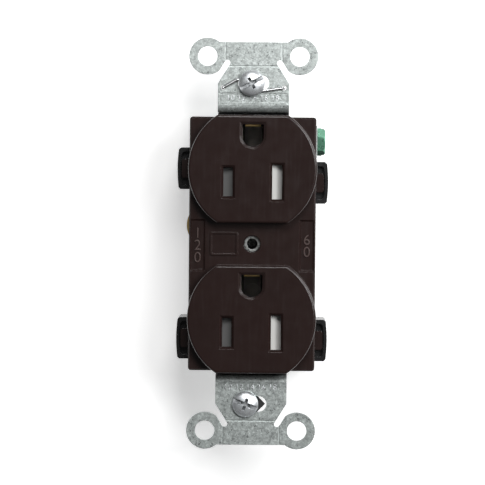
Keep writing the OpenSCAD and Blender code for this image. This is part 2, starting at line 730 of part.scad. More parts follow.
// The pair of leaves that grip one blade, joined at their rear, drawn for the right side
module blade_clip(z) {
  gap = blade_gap / 2;
  translate([blade_x, 0, blade_z(z) - leaf_w / 2]) linear_extrude(leaf_w) for (s = [-1, 1])
    mirror([s < 0 ? 1 : 0, 0]) polygon([[gap + 0.35, leaf_front_y], [gap + 0.35 + contact_t, leaf_front_y],
      [gap + contact_t, 2.2], [gap + contact_t, leaf_end_y], [-cut, leaf_end_y],
      [-cut, leaf_end_y - contact_t], [gap, leaf_end_y - contact_t], [gap, 2.2]]);
}

// The plate that one terminal screw threads into, with the arm that joins it to its clip
module terminal_plate(outlet_z, z) {
  half = clamp_size[1] / 2;
  difference() {
    union() {
      block([terminal_x - contact_t, bus_y, z - half], [terminal_x, chamber_y[1] - 0.2, z + half]);
      block([blade_x, leaf_end_y - contact_t, blade_z(outlet_z) - leaf_w / 2],
        [terminal_x, leaf_end_y, blade_z(outlet_z) + leaf_w / 2]);
      block([terminal_x - contact_t, bus_y, min(z, blade_z(outlet_z)) - leaf_w / 2],
        [terminal_x, leaf_end_y, max(z, blade_z(outlet_z)) + leaf_w / 2]);
    }
    translate([terminal_x - contact_t - 1, terminal_depth, z]) rotate([0, 90, 0])
      cylinder(h = contact_t + 2, r = terminal_r + screw_gap);
  }
}

// The bus between the two outlets, leaving the gap that the break-off link spans
module bus(from_z, to_z) {
  block([terminal_x - contact_t, bus_y, from_z], [terminal_x, bus_y + bus_w, to_z]);
}

module hot_contact() {
  arc_x = link_reach - link_r;
  color([0.8, 0.65, 0.32]) on_side(-1) {
    for (i = [0, 1]) {
      blade_clip(outlets[i]);
      terminal_plate(outlets[i], hot_z[i]);
    }
    slab(bus_y, bus_y + bus_w) difference() {
      translate([arc_x, link_z]) circle(link_r);
      translate([arc_x, link_z]) circle(link_r - contact_t);
      translate([terminal_x - contact_t - 3 * link_r, link_z - 2 * link_r])
        square([3 * link_r, 4 * link_r]);
    }
    bus(link_z + link_r - 0.6, hot_z[0]);
    bus(hot_z[1], link_z - link_r + 0.6);
  }
}

module neutral_contact() {
  color([0.75, 0.75, 0.72]) difference() {
    union() {
      for (i = [0, 1]) {
        blade_clip(outlets[i]);
        terminal_plate(outlets[i], neutral_z[i]);
      }
      bus(neutral_z[1], neutral_z[0]);
    }
    for (z = [-link_z - 2.5, -link_z + 2.5]) block([terminal_x - 2, bus_y - 1, z - 0.3],
      [terminal_x + 1, bus_y + bus_w * 0.6, z + 0.3]);
  }
}

// Reach against depth of one leaf with half the plate it stands on, its tip bent out by flare
module ground_leaf_outline(front, plate_y, flare) {
  outer = ground_leaf + contact_t;
  knee = front + 3 * flare;
  polygon([[ground_leaf + flare, front], [outer + flare, front], [outer, knee], [outer, plate_y],
    [-cut, plate_y], [-cut, plate_y - contact_t], [ground_leaf, plate_y - contact_t],
    [ground_leaf, knee]]);
}

// A three-sided clip that grips the ground pin, riveted to the strap through the base's floor
module ground_contact(z) {
  plate_y = ground_floor_y - seat_gap;
  color([0.8, 0.65, 0.32]) translate([0, 0, pin_z(z)]) difference() {
    union() {
      for (s = [-1, 1]) on_side(s) translate([0, 0, -ground_leaf_w / 2])
        linear_extrude(ground_leaf_w) ground_leaf_outline(leaf_front_y, plate_y, 0.4);
      across(-ground_tongue_w / 2, ground_tongue_w / 2) mirror([1, -1])
        ground_leaf_outline(-ground_tongue, plate_y, 0.15);
      block([-ground_leaf - contact_t, plate_y - contact_t, -ground_foot],
        [ground_leaf + contact_t, plate_y, 0]);
    }
    translate([0, plate_y + 1, -rivet_drop]) rotate([90, 0, 0])
      cylinder(h = contact_t + 2, r = rivet_r + screw_gap);
  }
}

module ground_contact_upper() {
  ground_contact(upper_z);
}

module ground_contact_lower() {
  ground_contact(lower_z);
}

// --- Terminal hardware ---

module terminal_screw(side, z) {
  on_side(side) translate([head_x, terminal_depth, z]) rotate([0, 90, 0])
    domed_screw(terminal_head_r, terminal_head_h, terminal_r, terminal_len, terminal_slot);
}

module clamp_plate(side, z) {
  half_y = clamp_size[0] / 2;
  half_z = clamp_size[1] / 2;
  on_side(side) translate([clamp_x, terminal_depth, z]) difference() {
    across(0, clamp_t) polygon([[-half_y + 1, -half_z], [half_y - 1, -half_z], [half_y, -half_z + 1],
      [half_y, half_z - 1], [half_y - 1, half_z], [-half_y + 1, half_z], [-half_y, half_z - 1],
      [-half_y, -half_z + 1]]);
    translate([-1, 0, 0]) rotate([0, 90, 0]) cylinder(h = clamp_t + 2, r = terminal_r + screw_gap);
    for (s = [-1, 1]) translate([-0.55, half_y + 1, s * wire_offset]) rotate([90, 0, 0])
      cylinder(h = 2 * half_y + 2, r = 0.9);
  }
}

module hot_screw_upper() {
  color([0.8, 0.66, 0.32]) terminal_screw(-1, hot_z[0]);
}

module hot_screw_lower() {
  color([0.8, 0.66, 0.32]) terminal_screw(-1, hot_z[1]);
}

module neutral_screw_upper() {
  color([0.78, 0.79, 0.8]) terminal_screw(1, neutral_z[0]);
}

module neutral_screw_lower() {
  color([0.78, 0.79, 0.8]) terminal_screw(1, neutral_z[1]);
}

module hot_clamp_upper() {
  color([0.74, 0.75, 0.75]) clamp_plate(-1, hot_z[0]);
}

module hot_clamp_lower() {
  color([0.74, 0.75, 0.75]) clamp_plate(-1, hot_z[1]);
}

module neutral_clamp_upper() {
  color([0.74, 0.75, 0.75]) clamp_plate(1, neutral_z[0]);
}

module neutral_clamp_lower() {
  color([0.74, 0.75, 0.75]) clamp_plate(1, neutral_z[1]);
}

// The hexagonal ground screw, chamfered round its outer corners
module ground_screw() {
  corner_d = ground_hex / cos(30);
  color([0.35, 0.65, 0.48]) translate([ground_tab_x + seat_gap, ground_screw_depth, ground_z])
    rotate([0, 90, 0]) difference() {
      union() {
        intersection() {
          cylinder(h = ground_head_h, d = corner_d, $fn = 6);
          rotate_extrude() polygon([[0, 0], [corner_d / 2 + 0.1, 0],
            [corner_d / 2 + 0.1, ground_head_h - 0.5], [ground_hex / 2 - 0.2, ground_head_h],
            [0, ground_head_h]]);
        }
        translate([0, 0, -ground_screw_len]) cylinder(h = ground_screw_len + cut, r = terminal_r);
      }
      translate([-corner_d, -terminal_slot / 2, ground_head_h - 0.9]) cube([2 * corner_d, terminal_slot, 2]);
    }
}

// --- Mounting hardware ---

module mounting_screw(x, z, lift) {
  neck_len = strap_t + lift + retainer_y[1] + retainer_y[0];
  color([0.8, 0.82, 0.84]) translate([x, -strap_t - lift, z]) rotate([90, 0, 0])
    domed_screw(mount_head_r, mount_head_h, mount_r, mount_len, mount_slot_w, neck_len);
}

module retainer(x, z) {
  color([0.06, 0.06, 0.06]) translate([x, 0, z]) slab(retainer_y[0], retainer_y[1]) difference() {
    rotate(45) square(retainer_w, center = true);
    circle(neck_r + screw_gap);
  }
}

module mounting_screw_top() {
  mounting_screw(screw_shift[0], screw_z, 2 * clip_r + 0.2);
}

module mounting_screw_bottom() {
  mounting_screw(screw_shift[1], -screw_z, seat_gap);
}

module screw_retainer_top() {
  retainer(screw_shift[0], screw_z);
}

module screw_retainer_bottom() {
  retainer(screw_shift[1], -screw_z);
}

// The spring wire that presses on the top screw and hooks through two holes in the strap
module grounding_clip() {
  reach = mount_r + clip_r + seat_gap;
  x = screw_shift[0];
  knee_r = clip_r + 0.03;
  path = [[-clip_hole[0], clip_hole[1]], [x - reach - 1.6, screw_z + 0.9], [x - reach, screw_z + 0.5],
    [x - reach, screw_z - 1.2], [x - 0.6, screw_z - reach - 0.3], [clip_hole[0], clip_hole[1]]];
  color([0.75, 0.76, 0.74]) {
    translate([0, -strap_t - knee_r - seat_gap, 0]) {
      for (i = [0:len(path) - 2]) rod(path[i], path[i + 1], clip_r);
      for (p = path) translate([p[0], 0, p[1]]) sphere(knee_r);
    }
    for (s = [-1, 1]) translate([s * clip_hole[0], 0.7, clip_hole[1]]) rotate([90, 0, 0])
      cylinder(h = strap_t + knee_r + 0.7 + seat_gap, r = clip_r);
  }
}

// --- Shutters ---

// One sliding shutter: a block with a ramp on its outer front, drawn for the right side
module shutter(side, outlet_z) {
  outer_x = shutter_inner_x + shutter_w;
  on_side(side) translate([0, 0, blade_z(outlet_z) - shutter_h / 2])
    linear_extrude(shutter_h) polygon([[shutter_inner_x, shutter_back_y],
      [shutter_inner_x, shutter_front_y], [outer_x - shutter_travel, shutter_front_y],
      [outer_x, shutter_front_y + ramp_rise], [outer_x, shutter_back_y]]);
}

// The plate behind the shutters, slotted for both blades
module shutter_carrier(outlet_z) {
  hole = [neutral_slot[0] + 0.6, neutral_slot[1] + 0.6];
  color([0.8, 0.8, 0.78]) translate([0, 0, blade_z(outlet_z)]) slab(carrier_y, carrier_y + carrier_t)
    difference() {
      square([pocket_size[0] - 2 * pocket_gap, pocket_size[1] - 2 * pocket_gap], center = true);
      for (s = [-1, 1]) translate([s * blade_x, 0]) square(hole, center = true);
    }
}

// The coil spring that holds a pair of shutters apart, each half turn leaning to meet the next
module shutter_spring(outlet_z) {
  reach = shutter_inner_x - spring_wire_r - 0.1;
  step = reach / spring_turns;
  lean = asin(step / 2 / spring_r);
  color([0.7, 0.71, 0.72]) translate([-reach + step / 2, spring_y, blade_z(outlet_z)])
    for (i = [0:2 * spring_turns - 1]) translate([step * i, 0, 0]) mirror([0, 0, i % 2])
      rotate([0, 0, i % 2 == 0 ? -lean : lean]) rotate([90, 0, 90]) rotate_extrude(angle = 180)
      translate([spring_r, 0]) circle(spring_wire_r, $fn = 16);
}

module hot_shutter_upper() {
  color([0.85, 0.85, 0.83]) shutter(-1, upper_z);
}

module neutral_shutter_upper() {
  color([0.85, 0.85, 0.83]) shutter(1, upper_z);
}

module hot_shutter_lower() {
  color([0.85, 0.85, 0.83]) shutter(-1, lower_z);
}

module neutral_shutter_lower() {
  color([0.85, 0.85, 0.83]) shutter(1, lower_z);
}

module shutter_spring_upper() {
  shutter_spring(upper_z);
}

module shutter_spring_lower() {
  shutter_spring(lower_z);
}

module shutter_carrier_upper() {
  shutter_carrier(upper_z);
}

module shutter_carrier_lower() {
  shutter_carrier(lower_z);
}

face_cover();
base();
mounting_strap();
hot_contact();
neutral_contact();
ground_contact_upper();
ground_contact_lower();
ground_rivets();
plate_screw_post();
assembly_screws();
hot_screw_upper();
hot_screw_lower();
neutral_screw_upper();
neutral_screw_lower();
hot_clamp_upper();
hot_clamp_lower();
neutral_clamp_upper();
neutral_clamp_lower();
ground_screw();
mounting_screw_top();
mounting_screw_bottom();
screw_retainer_top();
screw_retainer_bottom();
grounding_clip();
hot_shutter_upper();
neutral_shutter_upper();
hot_shutter_lower();
neutral_shutter_lower();
shutter_spring_upper();
shutter_spring_lower();
shutter_carrier_upper();
shutter_carrier_lower();
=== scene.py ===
"""Looks for a duplex wall outlet on its wrap-around strap.

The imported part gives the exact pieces. This script dresses each of them in a
procedural finish. It builds the screws with their threads and driver recesses,
the round washer, the coil springs and the raised numerals, and it sets the
floor, the lamps and the camera. Lengths are in metres, and the fields that are
easier to read in millimetres say so in their names.
"""

import logging
import math
from abc import ABC, abstractmethod
from dataclasses import dataclass, field
from enum import Enum
from typing import Callable, Sequence

import bmesh
import bpy
from mathutils import Matrix, Quaternion, Vector


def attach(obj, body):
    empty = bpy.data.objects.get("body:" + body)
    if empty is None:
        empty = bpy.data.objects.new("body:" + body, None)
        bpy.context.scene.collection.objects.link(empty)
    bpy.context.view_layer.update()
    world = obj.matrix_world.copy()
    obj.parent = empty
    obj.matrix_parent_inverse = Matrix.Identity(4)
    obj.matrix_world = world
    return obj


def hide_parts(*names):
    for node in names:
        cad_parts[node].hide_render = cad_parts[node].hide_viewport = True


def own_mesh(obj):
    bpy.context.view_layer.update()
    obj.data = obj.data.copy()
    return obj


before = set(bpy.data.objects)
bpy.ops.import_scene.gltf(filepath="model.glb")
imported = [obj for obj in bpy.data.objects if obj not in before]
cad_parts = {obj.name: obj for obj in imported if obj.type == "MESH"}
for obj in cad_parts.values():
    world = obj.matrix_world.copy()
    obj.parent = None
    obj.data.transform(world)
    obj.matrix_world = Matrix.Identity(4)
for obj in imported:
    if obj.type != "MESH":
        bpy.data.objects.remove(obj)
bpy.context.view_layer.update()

LOG = logging.getLogger("outlet")
MM = 0.001

Colour = tuple[float, float, float]
Point = tuple[float, float, float]
Piece = bpy.types.Object
Socket = bpy.types.NodeSocket

ALONG_STRIP: Point = (0.15, 1.0, 1.0)


class Drive(Enum):
    """The recess that a driver turns a screw by."""

    SLOT = "slot"
    COMBINATION = "slot and cross"


class Way(Enum):
    """The direction in which a screw's head looks."""

    LEFT = (-1.0, 0.0, 0.0)
    RIGHT = (1.0, 0.0, 0.0)
    FRONT = (0.0, -1.0, 0.0)
    BACK = (0.0, 1.0, 0.0)


# --- Finishes ---


class Nodes:
    """A node tree, with short ways to add and join its nodes."""

    def __init__(self, tree: bpy.types.NodeTree) -> None:
        """Take a node tree and empty it."""
        self.tree = tree
        self.tree.nodes.clear()

    def add(self, kind: str, **settings: object) -> bpy.types.Node:
        """Add a node.

        Args:
            kind: The node's type.
            settings: Values for the node's own properties.

        Returns:
            The new node.
        """
        node = self.tree.nodes.new(kind)
        for key, value in settings.items():
            setattr(node, key, value)
        return node

    def join(self, source: Socket, target: Socket) -> None:
        """Link one socket to another."""
        self.tree.links.new(source, target)

    def feed(self, target: Socket, value: object) -> None:
        """Set a socket.

        Args:
            target: The socket.
            value: Its value, or a socket to link it to.
        """
        if isinstance(value, Socket):
            self.join(value, target)
        else:
            target.default_value = value

    def maths(self, operation: str, a: object, b: object) -> Socket:
        """Join two values by one operation.

        Args:
            operation: The operation's name.
            a: The first value or socket.
            b: The second value or socket.

        Returns:
            The result.
        """
        node = self.add("ShaderNodeMath", operation=operation)
        self.feed(node.inputs[0], a)
        self.feed(node.inputs[1], b)
        return node.outputs["Value"]

    def spread(
        self,
        value: Socket,
        low: float,
        high: float,
        from_low: float = 0.3,
        from_high: float = 0.7,
    ) -> Socket:
        """Map a value from one range to another and hold it inside the new one.

        Args:
            value: The value.
            low: The new range's start.
            high: The new range's end.
            from_low: The old range's start.
            from_high: The old range's end.

        Returns:
            The new value.
        """
        node = self.add("ShaderNodeMapRange", clamp=True)
        self.join(value, node.inputs["Value"])
        ends = {"From Min": from_low, "From Max": from_high, "To Min": low, "To Max": high}
        for name, end in ends.items():
            node.inputs[name].default_value = end
        return node.outputs["Result"]


class Graph(Nodes):
    """A material's nodes round one principled shader, read in millimetres."""

    def __init__(self, name: str) -> None:
        """Start an empty material.

        Args:
            name: The material's name.
        """
        self.material = bpy.data.materials.new(name)
        self.material.use_nodes = True
        super().__init__(self.material.node_tree)
        self.shader = self.add("ShaderNodeBsdfPrincipled")
        out = self.add("ShaderNodeOutputMaterial")
        self.join(self.shader.outputs["BSDF"], out.inputs["Surface"])
        coords = self.add("ShaderNodeTexCoord")
        self.place = self.scaled(coords.outputs["Object"], (1.0 / MM, 1.0 / MM, 1.0 / MM))

    def scaled(self, place: Socket, scale: Point) -> Socket:
        """Scale each axis of a place, which draws marks out one way.

        Args:
            place: The place.
            scale: The factor for each axis.

        Returns:
            The scaled place.
        """
        mapping = self.add("ShaderNodeMapping")
        mapping.inputs["Scale"].default_value = scale
        self.join(place, mapping.inputs["Vector"])
        return mapping.outputs["Vector"]

    def noise(self, scale: float, detail: float = 2.0, place: Socket | None = None) -> Socket:
        """Add a noise that runs from 0 to 1.

        Args:
            scale: Features for each millimetre.
            detail: Octaves of finer noise.
            place: Where it is read, if not at the plain place.

        Returns:
            The noise's value.
        """
        node = self.add("ShaderNodeTexNoise")
        node.inputs["Scale"].default_value = scale
        node.inputs["Detail"].default_value = detail
        self.join(place or self.place, node.inputs["Vector"])
        return node.outputs["Fac"]

    def mix(self, share: object, a: object, b: object) -> Socket:
        """Mix two colours.

        Args:
            share: The share of the second.
            a: The first colour or its socket.
            b: The second colour or its socket.

        Returns:
            The mixed colour.
        """
        node = self.add("ShaderNodeMix", data_type="RGBA")
        self.feed(node.inputs[0], share)
        self.feed(node.inputs[6], rgba(a) if isinstance(a, tuple) else a)
        self.feed(node.inputs[7], rgba(b) if isinstance(b, tuple) else b)
        return node.outputs[2]

    def vary(self, share: Socket, colour: Colour, swing: float) -> Socket:
        """Vary a colour by a share from a swing darker to a swing lighter."""
        return self.mix(share, shade(colour, 1.0 - swing), shade(colour, 1.0 + swing))

    def rounded(self, radius_mm: float) -> Socket:
        """Break the edges by a small radius.

        Args:
            radius_mm: The radius in millimetres.

        Returns:
            The rounded normal.
        """
        node = self.add("ShaderNodeBevel", samples=4)
        node.inputs["Radius"].default_value = radius_mm * MM
        return node.outputs["Normal"]

    def edge(self, rounded: Socket) -> Socket:
        """Find the edges.

        Args:
            rounded: The normal with its edges rounded.

        Returns:
            A mask that is 1 on the edges and 0 on the flats.
        """
        flat = self.add("ShaderNodeNewGeometry").outputs["Normal"]
        dot = self.add("ShaderNodeVectorMath", operation="DOT_PRODUCT")
        self.join(rounded, dot.inputs[0])
        self.join(flat, dot.inputs[1])
        return self.spread(dot.outputs["Value"], 1.0, 0.0, 0.86, 0.995)

    def axis(self, name: str) -> Socket:
        """Take one coordinate of the place.

        Args:
            name: The axis.

        Returns:
            The coordinate in millimetres.
        """
        split = self.add("ShaderNodeSeparateXYZ")
        self.join(self.place, split.inputs["Vector"])
        return split.outputs[name]

    def line(self, value: Socket, middle: float, half: float) -> Socket:
        """Return a mask that is 1 on a line across a value and fades to 0 beside it."""
        away = self.maths("ABSOLUTE", self.maths("SUBTRACT", value, middle), 0.0)
        return self.spread(away, 1.0, 0.0, half * 0.5, half)

    def hollow(self, reach_mm: float) -> Socket:
        """Find the narrow hollows.

        Args:
            reach_mm: How far the light is looked for, in millimetres.

        Returns:
            A mask that is 1 in the hollows and 0 on open surfaces.
        """
        node = self.add("ShaderNodeAmbientOcclusion", samples=6, only_local=True)
        node.inputs["Distance"].default_value = reach_mm * MM
        return self.spread(node.outputs["AO"], 1.0, 0.0, 0.5, 0.97)

    def bump(self, height: Socket, depth_mm: float, normal: Socket | None = None) -> Socket:
        """Add a bump.

        Args:
            height: The relief, from 0 to 1.
            depth_mm: The depth of the relief.
            normal: The normal that it adds to.

        Returns:
            The bumped normal.
        """
        node = self.add("ShaderNodeBump")
        node.inputs["Distance"].default_value = depth_mm * MM
        self.join(height, node.inputs["Height"])
        if normal is not None:
            self.join(normal, node.inputs["Normal"])
        return node.outputs["Normal"]

    def set(self, **values: object) -> bpy.types.Material:
        """Set the shader's sockets.

        Args:
            values: A value or a socket for each name, with _ for a space.

        Returns:
            The material.
        """
        for key, value in values.items():
            socket = self.shader.inputs[key.replace("_", " ")]
            self.feed(socket, rgba(value) if isinstance(value, tuple) else value)
        return self.material


def rgba(colour: Sequence[float]) -> tuple[float, float, float, float]:
    """Return a colour with full opacity."""
    return (colour[0], colour[1], colour[2], 1.0)


def shade(colour: Colour, factor: float) -> Colour:
    """Return a colour made lighter or darker by a factor."""
    return (colour[0] * factor, colour[1] * factor, colour[2] * factor)


class Finish(ABC):
    """A surface finish that makes one material."""

    name: str

    @abstractmethod
    def build(self) -> bpy.types.Material:
        """Build the material and return it."""

    def material(self) -> bpy.types.Material:
        """Return the material, built the first time that it is asked for."""
        return bpy.data.materials.get(self.name) or self.build()


@dataclass(frozen=True)
class MouldedPlastic(Finish):
    """Injection moulded plastic with flow marks, fine grain, and edges lightened partly as wear and partly as
    painted highlight.
    """

    name: str
    colour: Colour
    roughness: float
    flow: float = 0.18
    grain_mm: float = 0.004
    grain_scale: float = 5.0
    edge_mm: float = 0.12
    wear_and_highlight: float = 0.25
    specular: float = 0.42

    def build(self) -> bpy.types.Material:
        """Build the material.

        Returns:
            The material.
        """
        g = Graph(self.name)
        rounded = g.rounded(self.edge_mm)
        body = g.vary(g.spread(g.noise(0.09, 3.0), 0.0, 1.0), self.colour, self.flow)
        # Painted highlight and wear: the edges are lightened by a patchy mask.
        edge_wear_and_highlight = g.maths("MULTIPLY", g.edge(rounded), g.spread(g.noise(0.8, 4.0), 0.0, self.wear_and_highlight))
        colour = g.mix(edge_wear_and_highlight, body, shade(self.colour, 2.6))
        smear = g.spread(g.noise(0.35, 5.0), -0.02, 0.03)
        scratches = g.noise(1.4, 3.0, g.scaled(g.place, (1.0, 1.0, 0.08)))
        scratched = g.spread(scratches, 0.0, 0.05, 0.5, 0.75)
        rough = g.maths("ADD", g.maths("ADD", smear, self.roughness), scratched)
        grain = g.noise(self.grain_scale, 3.0)
        return g.set(
            Base_Color=colour,
            Roughness=rough,
            Specular_IOR_Level=self.specular,
            Normal=g.bump(grain, self.grain_mm, rounded),
        )


@dataclass(frozen=True)
class GalvanisedSheet(Finish):
    """Hot-dipped zinc on sheet steel, with its crystal spangle, and a painted highlight on its pressed edges
    and break-off scores.
    """

    name: str
    colour: Colour
    roughness: float
    spangle_mm: float = 0.8
    bend_mm: float = 1.2
    contrast: float = 0.46
    edge_mm: float = 0.14
    metallic: float = 0.62
    score_x_mm: float = 7.35
    score_z_mm: float = 46.0
    score_half_mm: float = 0.26

    def build(self) -> bpy.types.Material:
        """Build the material.

        Returns:
            The material.
        """
        g = Graph(self.name)
        rounded = g.rounded(self.edge_mm)
        bent = self.bent(g)
        coarse = self.crystals(g, bent, 1.0 / self.spangle_mm)
        fine = self.crystals(g, bent, 3.2 / self.spangle_mm)
        spangle = g.maths("ADD", g.maths("MULTIPLY", coarse, 0.35), g.maths("MULTIPLY", fine, 0.65))
        body = g.vary(spangle, self.colour, self.contrast)
        stain = g.spread(g.noise(0.12, 4.0), 0.0, 0.3, 0.45, 0.75)
        aged = g.mix(stain, body, shade(self.colour, 0.72))
        # Painted highlight: the edges and the break-off scores are lightened.
        edge_and_score_highlight = g.maths("MAXIMUM", g.maths("MULTIPLY", g.edge(rounded), 0.55), self.scores(g))
        speckle = g.mix(g.spread(g.noise(1.8, 6.0), 0.0, 0.5, 0.36, 0.66), aged, shade(self.colour, 0.6))
        colour = g.mix(edge_and_score_highlight, speckle, shade(self.colour, 1.4))
        rough = g.maths("ADD", g.spread(spangle, -0.09, 0.09, 0.1, 0.9), self.roughness)
        pits = g.noise(2.2, 5.0)
        return g.set(
            Base_Color=colour,
            Metallic=self.metallic,
            Roughness=rough,
            Normal=g.bump(pits, 0.012, rounded),
        )

    def scores(self, g: Graph) -> Socket:
        """Find the scores along which the ears break off, for a painted highlight.

        Args:
            g: The material's graph.

        Returns:
            A mask that is bright on the two upright scores and the level one, where the highlight is painted.
        """
        x = g.maths("ABSOLUTE", g.axis("X"), 0.0)
        z = g.maths("ABSOLUTE", g.axis("Z"), 0.0)
        beyond = g.maths("GREATER_THAN", z, self.score_z_mm + 0.9)
        upright = g.maths("MULTIPLY", g.line(x, self.score_x_mm, self.score_half_mm), beyond)
        between = g.maths("LESS_THAN", x, self.score_x_mm - 0.5)
        level = g.maths("MULTIPLY", g.line(z, self.score_z_mm, self.score_half_mm), between)
        # A noise makes the painted highlight along the scores patchy.
        patchiness = g.spread(g.noise(0.9, 4.0), 0.15, 0.95, 0.35, 0.55)
        return g.maths("MULTIPLY", g.maths("MAXIMUM", upright, level), patchiness)

    def bent(self, g: Graph) -> Socket:
        """Bend the place, so that the crystals' borders aren't straight.

        Args:
            g: The material's graph.

        Returns:
            The bent place.
        """
        ripple = g.add("ShaderNodeTexNoise")
        ripple.inputs["Scale"].default_value = 1.6
        ripple.inputs["Detail"].default_value = 3.0
        g.join(g.place, ripple.inputs["Vector"])
        bend = g.add("ShaderNodeVectorMath", operation="MULTIPLY_ADD")
        g.join(ripple.outputs["Color"], bend.inputs[0])
        bend.inputs[1].default_value = (self.bend_mm, self.bend_mm, self.bend_mm)
        g.join(g.place, bend.inputs[2])
        return bend.outputs["Vector"]

    @staticmethod
    def crystals(g: Graph, place: Socket, scale: float) -> Socket:
        """Return one grey for each crystal.

        Args:
            g: The material's graph.
            place: Where the crystals are read.
            scale: Crystals for each millimetre.

        Returns:
            A value from 0 to 1 that is constant inside a crystal.
        """
        cells = g.add("ShaderNodeTexVoronoi")
        cells.inputs["Scale"].default_value = scale
        g.join(place, cells.inputs["Vector"])
        split = g.add("ShaderNodeSeparateColor")
        g.join(cells.outputs["Color"], split.inputs["Color"])
        return split.outputs["Red"]


@dataclass(frozen=True)
class PlatedMetal(Finish):
    """Plated or bare metal with drawing marks, handling scuffs and tarnish.

    Painted shade can darken it from one depth to another and in its hollows, and a painted highlight lightens
    its edges.
    """

    name: str
    colour: Colour
    tarnish: Colour
    roughness: float
    tarnish_share: float = 0.4
    marks: Point = (1.0, 1.0, 1.0)
    marks_mm: float = 0.004
    edge_mm: float = 0.08
    edge_highlight: float = 1.2
    metallic: float = 1.0
    depth_shade_mm: tuple[float, float] | None = None
    depth_shade_colour: Colour = (0.25, 0.236, 0.222)
    hollow_mm: float = 0.0

    def build(self) -> bpy.types.Material:
        """Build the material.

        Returns:
            The material.
        """
        g = Graph(self.name)
        rounded = g.rounded(self.edge_mm)
        cloud = g.spread(g.noise(0.7, 5.0), 0.0, self.tarnish_share, 0.42, 0.72)
        body = g.mix(cloud, self.colour, self.tarnish)
        # Painted highlight: the edges are lightened.
        edge_wear_and_highlight = g.maths("MULTIPLY", g.edge(rounded), 0.5)
        colour = g.mix(edge_wear_and_highlight, body, shade(self.colour, self.edge_highlight))
        if self.depth_shade_mm:
            # Painted shade: darker deeper in, from one depth to another.
            colour = g.mix(g.spread(g.axis("Y"), 0.0, 0.97, *self.depth_shade_mm), colour, self.depth_shade_colour)
        if self.hollow_mm:
            # Painted shade: darker in narrow hollows, such as driver recesses and bores.
            hollow_shade = g.maths("MULTIPLY", g.hollow(self.hollow_mm), 0.9)
            colour = g.mix(hollow_shade, colour, shade(self.tarnish, 0.12))
        drawn = g.noise(2.4, 4.0, g.scaled(g.place, self.marks))
        scuff = g.spread(g.noise(1.7, 6.0), -0.06, 0.12)
        rough = g.maths("ADD", g.maths("ADD", scuff, self.roughness), g.maths("MULTIPLY", cloud, 0.25))
        return g.set(
            Base_Color=colour,
            Metallic=self.metallic,
            Roughness=rough,
            Normal=g.bump(drawn, self.marks_mm, rounded),
        )


@dataclass(frozen=True)
class PressedFibre(Finish):
    """Black vulcanised fibre with short matted fibres."""

    name: str
    colour: Colour
    roughness: float = 0.62

    def build(self) -> bpy.types.Material:
        """Build the material.

        Returns:
            The material.
        """
        g = Graph(self.name)
        rounded = g.rounded(0.06)
        mat = g.noise(4.0, 5.0, g.scaled(g.place, (1.0, 1.0, 3.0)))
        body = g.mix(g.spread(mat, 0.0, 1.0), shade(self.colour, 0.6), shade(self.colour, 1.7))
        return g.set(
            Base_Color=body,
            Roughness=g.maths("ADD", g.spread(mat, -0.08, 0.1), self.roughness),
            Normal=g.bump(mat, 0.012, rounded),
        )


